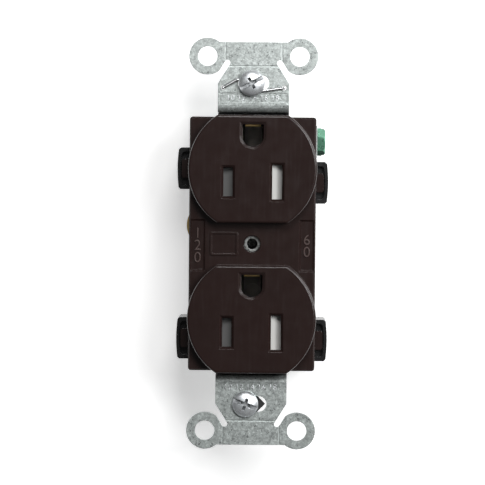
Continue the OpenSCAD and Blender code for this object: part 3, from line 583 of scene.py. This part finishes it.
class Finishes:
    """Every finish on the outlet."""

    # The cover's and base's edges are lightened partly as wear and partly as painted highlight.
    COVER = MouldedPlastic("cover_brown", (0.0172, 0.0085, 0.0074), 0.2, flow=0.07, edge_mm=0.18, wear_and_highlight=0.6)
    BASE = MouldedPlastic(
        "base_black", (0.0072, 0.0069, 0.0072), 0.26, flow=0.1, grain_mm=0.008, grain_scale=3.0
    )
    # The numerals are a lighter brown with strongly lightened edges, as a painted highlight on their relief.
    NUMERAL = MouldedPlastic("cover_brown_highlight", (0.062, 0.04, 0.036), 0.3, flow=0.07, wear_and_highlight=0.9)
    SHUTTER = MouldedPlastic("shutter_pale", (0.66, 0.66, 0.64), 0.42, flow=0.03, wear_and_highlight=0.0)
    # A darker copy of the pale shutter plastic for the hot shutters, as painted shade in their slots.
    SHUTTER_SHADED = MouldedPlastic("shutter_shaded", (0.17, 0.17, 0.168), 0.42, flow=0.05, wear_and_highlight=0.0)
    STRAP = GalvanisedSheet("strap_zinc", (0.45, 0.487, 0.475), 0.36)
    # A lighter zinc for the raised numerals, as a painted highlight on their relief.
    STRAP_RAISED = GalvanisedSheet("strap_zinc_highlight", (0.8, 0.82, 0.84), 0.34)
    # The hot contact's edges are lightened more, as a painted highlight.
    BRASS = PlatedMetal(
        "contact_brass", (0.86, 0.64, 0.32), (0.5, 0.33, 0.15), 0.3, marks=ALONG_STRIP, edge_highlight=1.5
    )
    # The ground contact is painted darker deeper down the ground hole, as shade.
    GROUND = PlatedMetal(
        "ground_brass", (0.76, 0.55, 0.25), (0.42, 0.26, 0.12), 0.34, marks=ALONG_STRIP, depth_shade_mm=(-2.9, -2.4)
    )
    # The rivets are painted darker forward of their heads, as shade inside the body.
    RIVET = PlatedMetal("rivet_brass", (0.76, 0.55, 0.25), (0.42, 0.26, 0.12), 0.34, depth_shade_mm=(23.0, 22.0))
    # The post's zinc is darkened, and its bore darker still, as painted shade in the recess round it.
    POST = PlatedMetal("post_zinc", (0.36, 0.37, 0.36), (0.2, 0.2, 0.19), 0.26, hollow_mm=2.6)
    NICKEL = PlatedMetal("contact_nickel", (0.66, 0.63, 0.57), (0.44, 0.41, 0.35), 0.32, marks=ALONG_STRIP)
    # The terminal screws' driver recesses are darkened as painted shade.
    SCREW_BRASS = PlatedMetal("screw_brass", (0.78, 0.58, 0.28), (0.46, 0.3, 0.14), 0.26, hollow_mm=0.9)
    SCREW_NICKEL = PlatedMetal("screw_nickel", (0.72, 0.71, 0.69), (0.5, 0.49, 0.47), 0.24, hollow_mm=0.9)
    CLAMP = PlatedMetal("clamp_zinc", (0.62, 0.63, 0.64), (0.45, 0.45, 0.44), 0.36, marks=(1.0, 0.1, 1.0))
    # The green screw's edges are lightened strongly, as a painted highlight.
    GREEN = PlatedMetal(
        "ground_green", (0.16, 0.38, 0.26), (0.05, 0.16, 0.11), 0.24, edge_highlight=2.4, metallic=0.7
    )
    BRIGHT = PlatedMetal(
        "mounting_zinc",
        (0.78, 0.81, 0.83),
        (0.4, 0.42, 0.45),
        0.28,
        tarnish_share=0.5,
        metallic=0.8,
        # Its driver recess is darkened as painted shade.
        hollow_mm=1.1,
    )
    ZINC = PlatedMetal("fastener_zinc", (0.6, 0.61, 0.6), (0.42, 0.42, 0.4), 0.33)
    WIRE = PlatedMetal("spring_wire", (0.6, 0.61, 0.62), (0.4, 0.4, 0.4), 0.28, marks=(0.2, 1.0, 1.0))
    FIBRE = PressedFibre("washer_fibre", (0.012, 0.0118, 0.0122))


def dress(finish: Finish, *nodes: str) -> None:
    """Give carried-over pieces their finish.

    Args:
        finish: The finish.
        nodes: The names of the pieces.
    """
    for name in nodes:
        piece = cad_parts[name]
        piece.data.materials.clear()
        piece.data.materials.append(finish.material())
        LOG.info("%s: %s", name, finish.name)


# --- Meshes ---


def band(bm: bmesh.types.BMesh, rows: Sequence[Sequence[bmesh.types.BMVert]]) -> None:
    """Join each closed row of points to the next one by a band of faces.

    Args:
        bm: The mesh.
        rows: Rows of equally many points.
    """
    for low, high in zip(rows, rows[1:]):
        for i in range(len(low)):
            j = (i + 1) % len(low)
            bm.faces.new((low[i], low[j], high[j], high[i]))


def mesh_from(rings: Sequence[Sequence[Vector]]) -> bmesh.types.BMesh:
    """Skin a stack of closed rings, with a pole at each end.

    Args:
        rings: Rings of equally many points, from one end to the other.

    Returns:
        A closed mesh.
    """
    bm = bmesh.new()
    rows = [[bm.verts.new(point) for point in ring] for ring in rings]
    band(bm, rows)
    count = len(rows[0])
    for row, flip in ((rows[0], True), (rows[-1], False)):
        pole = bm.verts.new(sum((v.co for v in row), Vector()) / count)
        for i in range(count):
            j = (i + 1) % count
            bm.faces.new((pole, row[j], row[i]) if flip else (pole, row[i], row[j]))
    bmesh.ops.recalc_face_normals(bm, faces=bm.faces)
    return bm


def put(name: str, data: bpy.types.ID) -> Piece:
    """Put an object into the scene.

    Args:
        name: The object's name.
        data: Its mesh, curve, lamp or camera.

    Returns:
        The object.
    """
    piece = bpy.data.objects.new(name, data)
    bpy.context.scene.collection.objects.link(piece)
    return piece


def as_object(bm: bmesh.types.BMesh, name: str) -> Piece:
    """Turn a mesh in the making into an object in the scene.

    Args:
        bm: The mesh, which is freed.
        name: The object's name.

    Returns:
        The object.
    """
    mesh = bpy.data.meshes.new(name)
    bm.to_mesh(mesh)
    bm.free()
    return put(name, mesh)


def settled(piece: Piece) -> bpy.types.Mesh:
    """Work out a mesh as modifiers and curve settings leave it.

    Args:
        piece: The object, which stays as it is.

    Returns:
        The mesh.
    """
    bpy.context.view_layer.update()
    graph = bpy.context.evaluated_depsgraph_get()
    return bpy.data.meshes.new_from_object(piece.evaluated_get(graph))


def join_pieces(name: str, pieces: Sequence[Piece]) -> Piece:
    """Join several pieces into one object.

    Args:
        name: The new object's name.
        pieces: The pieces, which are removed.

    Returns:
        The new object.
    """
    bm = bmesh.new()
    for piece in pieces:
        bm.from_mesh(piece.data)
        bpy.data.objects.remove(piece)
    return as_object(bm, name)


def cut_away(piece: Piece, cutter: Piece) -> None:
    """Cut one closed mesh out of another.

    Args:
        piece: The mesh that is cut.
        cutter: What is cut out, which is removed.
    """
    modifier = piece.modifiers.new("recess", "BOOLEAN")
    modifier.operation = "DIFFERENCE"
    modifier.solver = "EXACT"
    modifier.object = cutter
    result = settled(piece)
    piece.modifiers.clear()
    old = piece.data
    piece.data = result
    bpy.data.meshes.remove(old)
    bpy.data.objects.remove(cutter)


def smooth(piece: Piece, sharp_deg: float = 34.0) -> None:
    """Shade a piece smooth apart from its sharp edges.

    Args:
        piece: The piece.
        sharp_deg: The angle from which an edge is sharp.
    """
    piece.data.polygons.foreach_set("use_smooth", [True] * len(piece.data.polygons))
    piece.data.set_sharp_from_angle(angle=math.radians(sharp_deg))
    piece.data.update()


@dataclass
class Screw:
    """A machine screw with a rolled thread, an optional neck and a driver recess.

    It is built with its head up along +Z and the underside of the head at the origin.
    The thread's depth is a share of its pitch, and the cross's reach a share of the
    head's radius.
    """

    head_r_mm: float
    head_h_mm: float
    shank_r_mm: float
    length_mm: float
    drive: Drive = Drive.COMBINATION
    turn_deg: float = 0.0
    pitch_mm: float = 0.794
    neck_r_mm: float = 0.0
    neck_mm: float = 0.0
    hexagon_mm: float = 0.0
    slot_half_mm: float = 0.6
    slot_deep_mm: float = 1.0
    cross_half_mm: float = 0.42
    cross_deep_mm: float = 1.3
    cross_reach: float = 0.56
    cross_taper: float = 0.42
    thread_depth: float = 0.58
    columns: int = 48
    rows_a_turn: int = 10

    def ring(self, radius: float | Callable[[float], float], z: float) -> list[Vector]:
        """Return one ring of points.

        Args:
            radius: The radius in millimetres, or a function of the angle that gives it.
            z: The height in millimetres.

        Returns:
            The ring's points in metres.
        """
        points = []
        for i in range(self.columns):
            a = 2.0 * math.pi * i / self.columns
            r = radius(a) if callable(radius) else radius
            points.append(Vector((r * math.cos(a), r * math.sin(a), z)) * MM)
        return points

    def thread(self, z: float, fade: float) -> Callable[[float], float]:
        """Cut the thread at one height.

        Args:
            z: The height in millimetres.
            fade: The share of the full depth.

        Returns:
            The radius in millimetres as a function of the angle.
        """
        depth = self.thread_depth * self.pitch_mm * fade

        def radius(angle: float) -> float:
            """Shape one turn, flat on the crest and round in the root.

            Args:
                angle: The angle round the axis.

            Returns:
                The radius in millimetres.
            """
            phase = (z / self.pitch_mm - angle / (2.0 * math.pi)) % 1.0
            dip = max(0.0, 1.0 - abs(phase - 0.5) / 0.44)
            return self.shank_r_mm - depth * dip ** 0.85

        return radius

    def shank(self) -> list[list[Vector]]:
        """Shape the shank with its thread and neck.

        Returns:
            The rings from the tip up to the head.
        """
        top = -self.neck_mm if self.neck_mm else -0.25
        step = self.pitch_mm / self.rows_a_turn
        tip = self.shank_r_mm - self.thread_depth * self.pitch_mm
        rings = [self.ring(tip - 0.1, -self.length_mm), self.ring(tip, -self.length_mm + 0.05)]
        count = int((self.length_mm + top - 0.1) / step)
        for i in range(count + 1):
            z = -self.length_mm + 0.1 + i * step
            lead = min(1.0, (z + self.length_mm) / self.pitch_mm)
            run_out = min(1.0, max(0.0, (top - z) / (0.5 * self.pitch_mm)))
            cut = self.thread(z, run_out)
            rings.append(self.ring(lambda a, c=cut, k=lead: tip + (c(a) - tip) * k, z))
        if self.neck_mm:
            rings += [self.ring(self.neck_r_mm, top + 0.02), self.ring(self.neck_r_mm, -0.06)]
            rings.append(self.ring(self.neck_r_mm + 0.06, 0.0))
        else:
            rings.append(self.ring(self.shank_r_mm, 0.0))
        return rings

    def head(self) -> list[list[Vector]]:
        """Shape the domed or hexagonal head.

        Returns:
            The rings from its underside to its top.
        """
        if self.hexagon_mm:
            return self.hexagon_head()
        rim = 0.36 * self.head_h_mm
        rings = [self.ring(self.head_r_mm - 0.12, 0.0), self.ring(self.head_r_mm - 0.03, 0.04)]
        rings += [self.ring(self.head_r_mm, 0.12), self.ring(self.head_r_mm, rim)]
        for step in range(1, 13):
            a = math.radians(7.2 * step)
            dome = rim + (self.head_h_mm - rim) * math.sin(a)
            rings.append(self.ring(self.head_r_mm * math.cos(a), dome))
        return rings

    def hexagon_head(self) -> list[list[Vector]]:
        """Shape a chamfered hexagonal head.

        Returns:
            The rings from its underside to its top.
        """
        half = self.hexagon_mm / 2.0

        def hexagon(limit: float) -> Callable[[float], float]:
            """Return the hexagon's radius by angle, held inside a circle."""
            return lambda a: min(limit, half / math.cos(a % (math.pi / 3.0) - math.pi / 6.0))

        corner = half / math.cos(math.pi / 6.0)
        rings = [self.ring(hexagon(corner - 0.1), 0.0), self.ring(hexagon(corner), 0.06)]
        for step in range(7):
            share = step / 6.0
            limit = corner - (corner - half + 0.2) * share
            rings.append(self.ring(hexagon(limit), self.head_h_mm - 0.5 * (1.0 - share)))
        rings.append(self.ring(half - 0.9, self.head_h_mm))
        return rings

    def recess(self) -> Piece:
        """Shape the driver recess.

        Returns:
            The cutter.
        """
        bm = bmesh.new()
        top = self.head_h_mm + 0.6
        reach = self.head_r_mm + 1.0 if not self.hexagon_mm else self.hexagon_mm
        self.wedge(bm, reach, self.slot_half_mm, self.head_h_mm - self.slot_deep_mm, top, 0.0, 0.0)
        if self.drive is Drive.COMBINATION:
            reach = self.cross_reach * self.head_r_mm
            floor = self.head_h_mm - self.cross_deep_mm
            for angle in (0.0, math.pi / 2.0):
                self.wedge(bm, reach, self.cross_half_mm, floor, top, angle, self.cross_taper)
        bmesh.ops.recalc_face_normals(bm, faces=bm.faces)
        cutter = as_object(bm, "recess_cutter")
        if self.drive is Drive.COMBINATION:
            modifier = cutter.modifiers.new("weld", "REMESH")
            modifier.mode = "VOXEL"
            modifier.voxel_size = 0.045 * MM
        return cutter

    @staticmethod
    def wedge(
        bm: bmesh.types.BMesh,
        reach: float,
        half_width: float,
        floor: float,
        top: float,
        angle: float,
        taper: float,
    ) -> None:
        """Add one arm of a recess, narrower at its floor.

        Args:
            bm: The mesh that it is added to.
            reach: Half its length.
            half_width: Half its width.
            floor: The height of its floor.
            top: The height of its open side.
            angle: Its direction round the screw's axis.
            taper: The share by which its length shrinks towards its floor.
        """
        spin = Matrix.Rotation(angle, 4, "Z")
        corners = []
        for z, grow in ((floor, 1.0 - taper), (top, 1.0)):
            for x, y in ((-1, -1), (1, -1), (1, 1), (-1, 1)):
                width = half_width * (0.82 if z == floor else 1.0)
                corners.append(bm.verts.new(spin @ Vector((x * reach * grow, y * width, z)) * MM))
        for face in ((0, 1, 2, 3), (4, 5, 6, 7), (0, 1, 5, 4), (1, 2, 6, 5), (2, 3, 7, 6), (3, 0, 4, 7)):
            bm.faces.new([corners[i] for i in face])

    def build(self, name: str) -> Piece:
        """Build the screw.

        Args:
            name: The piece's name.

        Returns:
            The screw, at the origin with its head up.
        """
        piece = as_object(mesh_from(self.shank() + self.head()), name)
        cut_away(piece, self.recess())
        piece.data.transform(Matrix.Rotation(math.radians(self.turn_deg), 4, "Z"))
        return piece


def seat(piece: Piece, at_mm: Point, way: Way) -> None:
    """Move a screw's points to its place, given by its head's underside and way."""
    turn = Vector((0, 0, 1)).rotation_difference(Vector(way.value)).to_matrix().to_4x4()
    piece.data.transform(Matrix.Translation(Vector(at_mm) * MM) @ turn)


def stand_for(piece: Piece, node: str, body: str, finish: Finish) -> None:
    """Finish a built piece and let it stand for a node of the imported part.

    Args:
        piece: The piece, in its place.
        node: The node that it stands for.
        body: The body that it moves with.
        finish: Its finish.
    """
    smooth(piece)
    piece.data.materials.clear()
    piece.data.materials.append(finish.material())
    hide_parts(node)
    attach(piece, body)
    LOG.info("%s: %d faces, %s", piece.name, len(piece.data.polygons), finish.name)


# --- The outlet ---


@dataclass
class Numerals:
    """Plain raised numerals on a flat face that looks to the front.

    The digit share is a digit's height as a share of the lettering's size.
    """

    name: str
    lines: tuple[str, ...]
    at_mm: Point
    height_mm: float
    relief_mm: float
    digit_share: float = 0.7
    line_space: float = 0.82
    letter_space: float = 1.05

    def curve(self) -> Piece:
        """Set the numerals.

        Returns:
            Their outline as a raised curve.
        """
        data = bpy.data.curves.new(self.name, "FONT")
        data.body = "\n".join(self.lines)
        data.align_x, data.align_y = "CENTER", "CENTER"
        data.size = self.height_mm / self.digit_share * MM
        data.space_line = self.line_space
        data.space_character = self.letter_space
        data.resolution_u = 4
        data.bevel_depth = 0.05 * MM
        data.offset = -0.07 * MM
        data.extrude = self.relief_mm / 2.0 * MM - data.bevel_depth
        return put(self.name, data)

    def build(self, body: str, slot: str, finish: Finish) -> None:
        """Raise the numerals and fix them to their piece.

        Args:
            body: The body that they move with.
            slot: The record's material slot, which is not used.
            finish: Their finish.
        """
        curve = self.curve()
        mesh = settled(curve)
        bpy.data.objects.remove(curve)
        xs = [v.co.x for v in mesh.vertices]
        ys = [v.co.y for v in mesh.vertices]
        middle = Vector((min(xs) + max(xs), min(ys) + max(ys), 0.0)) / 2.0
        mesh.transform(Matrix.Translation(-middle))
        mesh.transform(Matrix.Translation(Vector(self.at_mm) * MM) @ Matrix.Rotation(math.pi / 2.0, 4, "X"))
        mesh.materials.clear()
        mesh.materials.append(finish.material())
        piece = put(self.name, mesh)
        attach(piece, body)
        LOG.info("%s: %s, %s", self.name, " ".join(self.lines), finish.name)


@dataclass
class Housing:
    """The cover with its two faces, and the base behind it."""

    panel_x_mm: float = 14.15
    panel_y_mm: float = -2.95
    panel_z_mm: float = -0.4
    numeral_mm: float = 2.7
    relief_mm: float = 0.3

    def dress(self) -> None:
        """Give the mouldings their plastics."""
        dress(Finishes.COVER, "face_cover")
        dress(Finishes.BASE, "base")

    def build(self) -> None:
        """Raise plain numerals in the two side panels."""
        y = self.panel_y_mm - self.relief_mm / 2.0
        for side, digits in ((-1.0, "120"), (1.0, "60")):
            name = "panel_numerals_left" if side < 0.0 else "panel_numerals_right"
            at = (side * self.panel_x_mm, y, self.panel_z_mm)
            numerals = Numerals(name, tuple(digits), at, self.numeral_mm, self.relief_mm)
            numerals.build("root", "cover_plastic", Finishes.NUMERAL)


@dataclass
class Washer:
    """A round fibre washer that keeps a screw in its slot, a little rough at the rim."""

    outer_r_mm: float
    inner_r_mm: float
    front_y_mm: float
    rear_y_mm: float
    edge_mm: float = 0.08
    rag_mm: float = 0.035
    columns: int = 96

    def build(self, name: str, x: float, z: float) -> Piece:
        """Build the washer.

        Args:
            name: The piece's name.
            x: Its middle across, in millimetres.
            z: Its middle up, in millimetres.

        Returns:
            The washer, in its place.
        """
        bm = bmesh.new()
        e, front, rear = self.edge_mm, self.front_y_mm, self.rear_y_mm
        outline = (
            (self.inner_r_mm, front + e),
            (self.inner_r_mm + e, front),
            (self.outer_r_mm - 2 * e, front),
            (self.outer_r_mm, front + 2 * e),
            (self.outer_r_mm, rear - e),
            (self.outer_r_mm - e, rear),
            (self.inner_r_mm + e, rear),
            (self.inner_r_mm, rear - e),
        )
        rows = []
        for i in range(self.columns):
            a = 2.0 * math.pi * i / self.columns
            rag = self.rag_mm * math.sin(7.0 * a + x) * math.sin(11.0 * a + 1.0)
            row = []
            for r, y in outline:
                r += rag if r > self.inner_r_mm + 2 * e else 0.0
                row.append(bm.verts.new(Vector((x + r * math.cos(a), y, z + r * math.sin(a))) * MM))
            rows.append(row)
        band(bm, rows + rows[:1])
        bmesh.ops.recalc_face_normals(bm, faces=bm.faces)
        return as_object(bm, name)


@dataclass
class Strap:
    """The wrap-around strap with what is fastened to it."""

    washer_x_mm: float = -0.5
    washer_z_mm: float = 41.67
    washer: Washer = field(default_factory=lambda: Washer(3.15, 1.55, 0.1, 1.0))
    rear_y_mm: float = 23.8
    band_mm: tuple[Point, Point] = ((0.0, -1.2, 37.9), (0.0, -1.4, -37.2))
    band_relief_mm: float = 0.15
    numeral_mm: float = 1.5
    assembly_z_mm: tuple[float, float] = (8.7, -30.2)
    assembly: Screw = field(default_factory=lambda: Screw(2.8, 1.5, 1.5, 26.15, turn_deg=25.0))

    def dress(self) -> None:
        """Give the strap and what is fastened to it their finishes."""
        dress(Finishes.STRAP, "mounting_strap")
        dress(Finishes.POST, "plate_screw_post")
        dress(Finishes.RIVET, "ground_rivets")
        dress(Finishes.WIRE, "grounding_clip")
        dress(Finishes.FIBRE, "screw_retainer_bottom")

    def build(self) -> None:
        """Build the assembly screws, the round washer and both rows of numerals."""
        pair = []
        for z in self.assembly_z_mm:
            screw = self.assembly.build("assembly_screw")
            seat(screw, (0.0, self.rear_y_mm, z), Way.BACK)
            pair.append(screw)
        both = join_pieces("assembly_screws_threaded", pair)
        stand_for(both, "assembly_screws", "root", Finishes.ZINC)
        washer = self.washer.build("screw_retainer_top_round", self.washer_x_mm, self.washer_z_mm)
        stand_for(washer, "screw_retainer_top", "root", Finishes.FIBRE)
        for where, (x, y, z) in zip(("top", "bottom"), self.band_mm):
            at = (x, y - self.band_relief_mm / 2.0, z)
            row = ("10 12 14 16 18",)
            name = f"strap_numerals_{where}"
            numerals = Numerals(name, row, at, self.numeral_mm, self.band_relief_mm)
            numerals.build("root", "galvanised_steel", Finishes.STRAP_RAISED)


@dataclass
class Terminals:
    """The side terminals: contacts, clamp plates and their screws."""

    head_x_mm: float = 13.9
    depth_mm: float = 13.1
    hot_z_mm: tuple[float, float] = (19.4, -24.7)
    neutral_z_mm: tuple[float, float] = (15.9, -25.1)
    screw: Screw = field(default_factory=lambda: Screw(3.8, 2.0, 2.08, 5.6))

    def dress(self) -> None:
        """Give the contacts and clamps their metals."""
        dress(Finishes.BRASS, "hot_contact")
        dress(Finishes.GROUND, "ground_contact_upper", "ground_contact_lower")
        dress(Finishes.NICKEL, "neutral_contact")
        for side in ("hot", "neutral"):
            dress(Finishes.CLAMP, f"{side}_clamp_upper", f"{side}_clamp_lower")

    def build(self) -> None:
        """Build the four terminal screws, each turned its own way."""
        sides = (
            ("hot", Way.LEFT, self.hot_z_mm, "terminal_brass", Finishes.SCREW_BRASS),
            ("neutral", Way.RIGHT, self.neutral_z_mm, "terminal_nickel", Finishes.SCREW_NICKEL),
        )
        turns = {"hot_upper": 12.0, "hot_lower": 70.0, "neutral_upper": -35.0, "neutral_lower": 48.0}
        for side, way, heights, slot, finish in sides:
            for where, z in zip(("upper", "lower"), heights):
                self.screw.turn_deg = turns[f"{side}_{where}"]
                node = f"{side}_screw_{where}"
                piece = self.screw.build(f"{node}_threaded")
                seat(piece, (way.value[0] * self.head_x_mm, self.depth_mm, z), way)
                stand_for(piece, node, node, finish)


@dataclass
class GroundTerminal:
    """The green hexagonal screw on the strap's side tab."""

    at_mm: Point = (16.75, 10.8, 26.5)
    turn_deg: float = 8.0
    screw: Screw = field(
        default_factory=lambda: Screw(3.2, 2.1, 2.08, 7.0, drive=Drive.SLOT, hexagon_mm=6.35, columns=72)
    )

    def build(self) -> None:
        """Build the ground screw."""
        self.screw.turn_deg = self.turn_deg
        piece = self.screw.build("ground_screw_threaded")
        seat(piece, self.at_mm, Way.RIGHT)
        stand_for(piece, "ground_screw", "ground_screw", Finishes.GREEN)


@dataclass
class MountingScrews:
    """The two screws into the wall box."""

    top_mm: Point = (-0.5, -2.4, 41.67)
    bottom_mm: Point = (-1.45, -1.45, -41.67)
    head_r_mm: float = 3.4
    head_h_mm: float = 1.9
    shank_r_mm: float = 1.75
    length_mm: float = 19.0
    neck_r_mm: float = 1.45

    def build(self) -> None:
        """Build both mounting screws."""
        places = (
            ("mounting_screw_top", self.top_mm, 3.5, 28.0),
            ("mounting_screw_bottom", self.bottom_mm, 2.55, -20.0),
        )
        for node, at, neck, turn in places:
            sizes = (self.head_r_mm, self.head_h_mm, self.shank_r_mm, self.length_mm)
            screw = Screw(*sizes, turn_deg=turn, neck_r_mm=self.neck_r_mm, neck_mm=neck)
            piece = screw.build(f"{node}_threaded")
            seat(piece, at, Way.FRONT)
            stand_for(piece, node, node, Finishes.BRIGHT)


@dataclass
class Spring:
    """A coiled compression spring along X, with a closed turn at each end."""

    reach_mm: float = 4.12
    coil_r_mm: float = 0.89
    wire_r_mm: float = 0.17
    closed_pitch: float = 2.2
    turns: int = 9
    steps_a_turn: int = 28
    sides: int = 12

    def along(self, turn: float) -> float:
        """Find how far along X the wire lies.

        The closed turn at the far end starts one closed pitch back from where the
        open turns stop, so the wire doubles back there.

        Args:
            turn: The turns since the wire's start.

        Returns:
            The distance from the spring's middle in millimetres.
        """
        pitch = self.closed_pitch * self.wire_r_mm
        if turn <= 1.0:
            return -self.reach_mm + pitch * turn
        if turn < self.turns - 1.0:
            share = (turn - 1.0) / (self.turns - 2.0)
            return -self.reach_mm + pitch + share * 2.0 * (self.reach_mm - pitch)
        return self.reach_mm - pitch * (self.turns + 1.0 - turn)

    def build(self, name: str, y: float, z: float) -> Piece:
        """Wind the spring.

        Args:
            name: The piece's name.
            y: The depth of its axis in millimetres.
            z: The height of its axis in millimetres.

        Returns:
            The spring, in its place.
        """
        side = Vector((1.0, 0.0, 0.0))
        rings = []
        for i in range(self.turns * self.steps_a_turn + 1):
            turn = i / self.steps_a_turn
            a = 2.0 * math.pi * turn
            out = Vector((0.0, math.cos(a), math.sin(a)))
            middle = Vector((self.along(turn), y, z)) + out * self.coil_r_mm
            ring = []
            for k in range(self.sides):
                b = 2.0 * math.pi * k / self.sides
                ring.append((middle + (out * math.cos(b) + side * math.sin(b)) * self.wire_r_mm) * MM)
            rings.append(ring)
        return as_object(mesh_from(rings), name)


@dataclass
class Shutters:
    """The sliding shutters with their springs and carriers."""

    places: tuple[str, ...] = ("upper", "lower")
    spring: Spring = field(default_factory=Spring)
    spring_y_mm: float = -4.075
    spring_z_mm: tuple[float, float] = (16.1, -22.8)
    spring_keep: float = 0.24

    def dress(self) -> None:
        """Give the shutters and carriers their finishes."""
        for where in self.places:
            dress(Finishes.SHUTTER, f"neutral_shutter_{where}", f"shutter_carrier_{where}")
            # The hot shutters take the darker copy, as painted shade.
            dress(Finishes.SHUTTER_SHADED, f"hot_shutter_{where}")

    def build(self) -> None:
        """Wind both springs, which on the outlet close up as the shutters slide inwards; here they stay as
        wound.
        """
        for where, z in zip(self.places, self.spring_z_mm):
            piece = self.spring.build(f"shutter_spring_{where}_coil", self.spring_y_mm, z)
            stand_for(piece, f"shutter_spring_{where}", "root", Finishes.WIRE)
            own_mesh(piece)


# --- The studio ---


@dataclass
class Lamp:
    """One soft square lamp that looks at the outlet."""

    name: str
    at: Point
    size: float
    watts: float

    def build(self) -> None:
        """Hang the lamp."""
        data = bpy.data.lights.new(self.name, "AREA")
        data.shape = "SQUARE"
        data.size = self.size
        data.energy = self.watts
        lamp = put(self.name, data)
        lamp.location = self.at
        lamp.rotation_mode = "QUATERNION"
        lamp.rotation_quaternion = (-Vector(self.at)).to_track_quat("-Z", "Y")


@dataclass
class Studio:
    """The pale floor that the outlet lies on, the lamps, the world and the camera."""

    floor_y: float = 0.0256
    floor_half: float = 3.0
    floor_colour: Colour = (0.9, 0.9, 0.9)
    floor_glow: float = 0.48
    room_light: tuple[float, float] = (0.13, 0.75)
    room_turn: tuple[float, float] = (-0.15, 0.35)
    distance: float = 1.18
    sensor_mm: float = 36.0
    picture_width: float = 0.1259
    azimuth_deg: float = 0.5
    elevation_deg: float = 1.5
    roll_deg: float = 0.5
    aim_mm: Point = (-2.52, -1.4, 0.3)
    lamps: tuple[Lamp, ...] = (
        Lamp("key", (0.42, -0.86, 0.22), 0.36, 5.2),
        Lamp("upper", (0.03, -0.44, 0.24), 0.15, 1.1),
        Lamp("side", (0.6, -0.2, 0.3), 0.45, 2.6),
        Lamp("rear", (-0.4, 0.9, 0.5), 0.6, 4.0),
    )

    def build(self) -> None:
        """Set the whole studio."""
        self.floor()
        self.world()
        for lamp in self.lamps:
            lamp.build()
        self.camera()
        bpy.context.scene.view_settings.view_transform = "Standard"

    def floor(self) -> None:
        """Lay the floor, which shows from its front only."""
        bm = bmesh.new()
        half = self.floor_half
        corners = [(-half, -half), (half, -half), (half, half), (-half, half)]
        bm.faces.new([bm.verts.new((x, self.floor_y, z)) for x, z in corners])
        floor = as_object(bm, "floor")
        floor.data.materials.append(self.floor_material())

    def floor_material(self) -> bpy.types.Material:
        """Make the floor pale and shadowed, but clear from behind and to soft light.

        Returns:
            The floor's material.
        """
        material = bpy.data.materials.new("floor_white")
        material.use_nodes = True
        g = Nodes(material.node_tree)
        path = g.add("ShaderNodeLightPath").outputs
        direct = g.maths("MAXIMUM", path["Is Camera Ray"], path["Is Glossy Ray"])
        seen = g.maths("MAXIMUM", direct, path["Is Transmission Ray"])
        front = g.maths("SUBTRACT", 1.0, g.add("ShaderNodeNewGeometry").outputs["Backfacing"])
        diffuse = g.add("ShaderNodeBsdfDiffuse")
        diffuse.inputs["Color"].default_value = rgba(self.floor_colour)
        glow = g.add("ShaderNodeEmission")
        glow.inputs["Strength"].default_value = self.floor_glow
        both = g.add("ShaderNodeAddShader")
        g.join(diffuse.outputs[0], both.inputs[0])
        g.join(glow.outputs[0], both.inputs[1])
        mix = g.add("ShaderNodeMixShader")
        g.join(g.maths("MULTIPLY", seen, front), mix.inputs[0])
        g.join(g.add("ShaderNodeBsdfTransparent").outputs[0], mix.inputs[1])
        g.join(both.outputs[0], mix.inputs[2])
        g.join(mix.outputs[0], g.add("ShaderNodeOutputMaterial").inputs["Surface"])
        return material

    def world(self) -> None:
        """Set a white background and a dim room, brighter on the floor's side."""
        world = bpy.data.worlds.new("room")
        bpy.context.scene.world = world
        world.use_nodes = True
        g = Nodes(world.node_tree)
        split = g.add("ShaderNodeSeparateXYZ")
        g.join(g.add("ShaderNodeTexCoord").outputs["Generated"], split.inputs[0])
        pick = g.add("ShaderNodeMix", data_type="FLOAT")
        g.join(g.add("ShaderNodeLightPath").outputs["Is Camera Ray"], pick.inputs[0])
        g.join(g.spread(split.outputs["Y"], *self.room_light, *self.room_turn), pick.inputs[2])
        pick.inputs[3].default_value = 1.0
        light = g.add("ShaderNodeBackground")
        g.join(pick.outputs[0], light.inputs["Strength"])
        g.join(light.outputs[0], g.add("ShaderNodeOutputWorld").inputs["Surface"])

    def camera(self) -> None:
        """Set the camera straight in front, a little above and to the right."""
        data = bpy.data.cameras.new("camera")
        data.sensor_width = self.sensor_mm
        data.lens = self.sensor_mm * self.distance / self.picture_width
        data.clip_start, data.clip_end = 0.01, 20.0
        camera = put("camera", data)
        a, e = math.radians(self.azimuth_deg), math.radians(self.elevation_deg)
        back = Vector((math.sin(a) * math.cos(e), -math.cos(a) * math.cos(e), math.sin(e)))
        camera.location = Vector(self.aim_mm) * MM + back * self.distance
        camera.rotation_mode = "QUATERNION"
        roll = Quaternion((0.0, 0.0, 1.0), math.radians(self.roll_deg))
        camera.rotation_quaternion = (-back).to_track_quat("-Z", "Y") @ roll
        bpy.context.scene.camera = camera


def main() -> None:
    """Dress and build the outlet, then set the studio."""
    logging.basicConfig(level=logging.INFO, format="%(name)s %(message)s")
    housing = Housing()
    housing.dress()
    housing.build()
    strap = Strap()
    strap.dress()
    strap.build()
    terminals = Terminals()
    terminals.dress()
    terminals.build()
    GroundTerminal().build()
    MountingScrews().build()
    shutters = Shutters()
    shutters.dress()
    shutters.build()
    Studio().build()


if __name__ == "__main__":
    main()
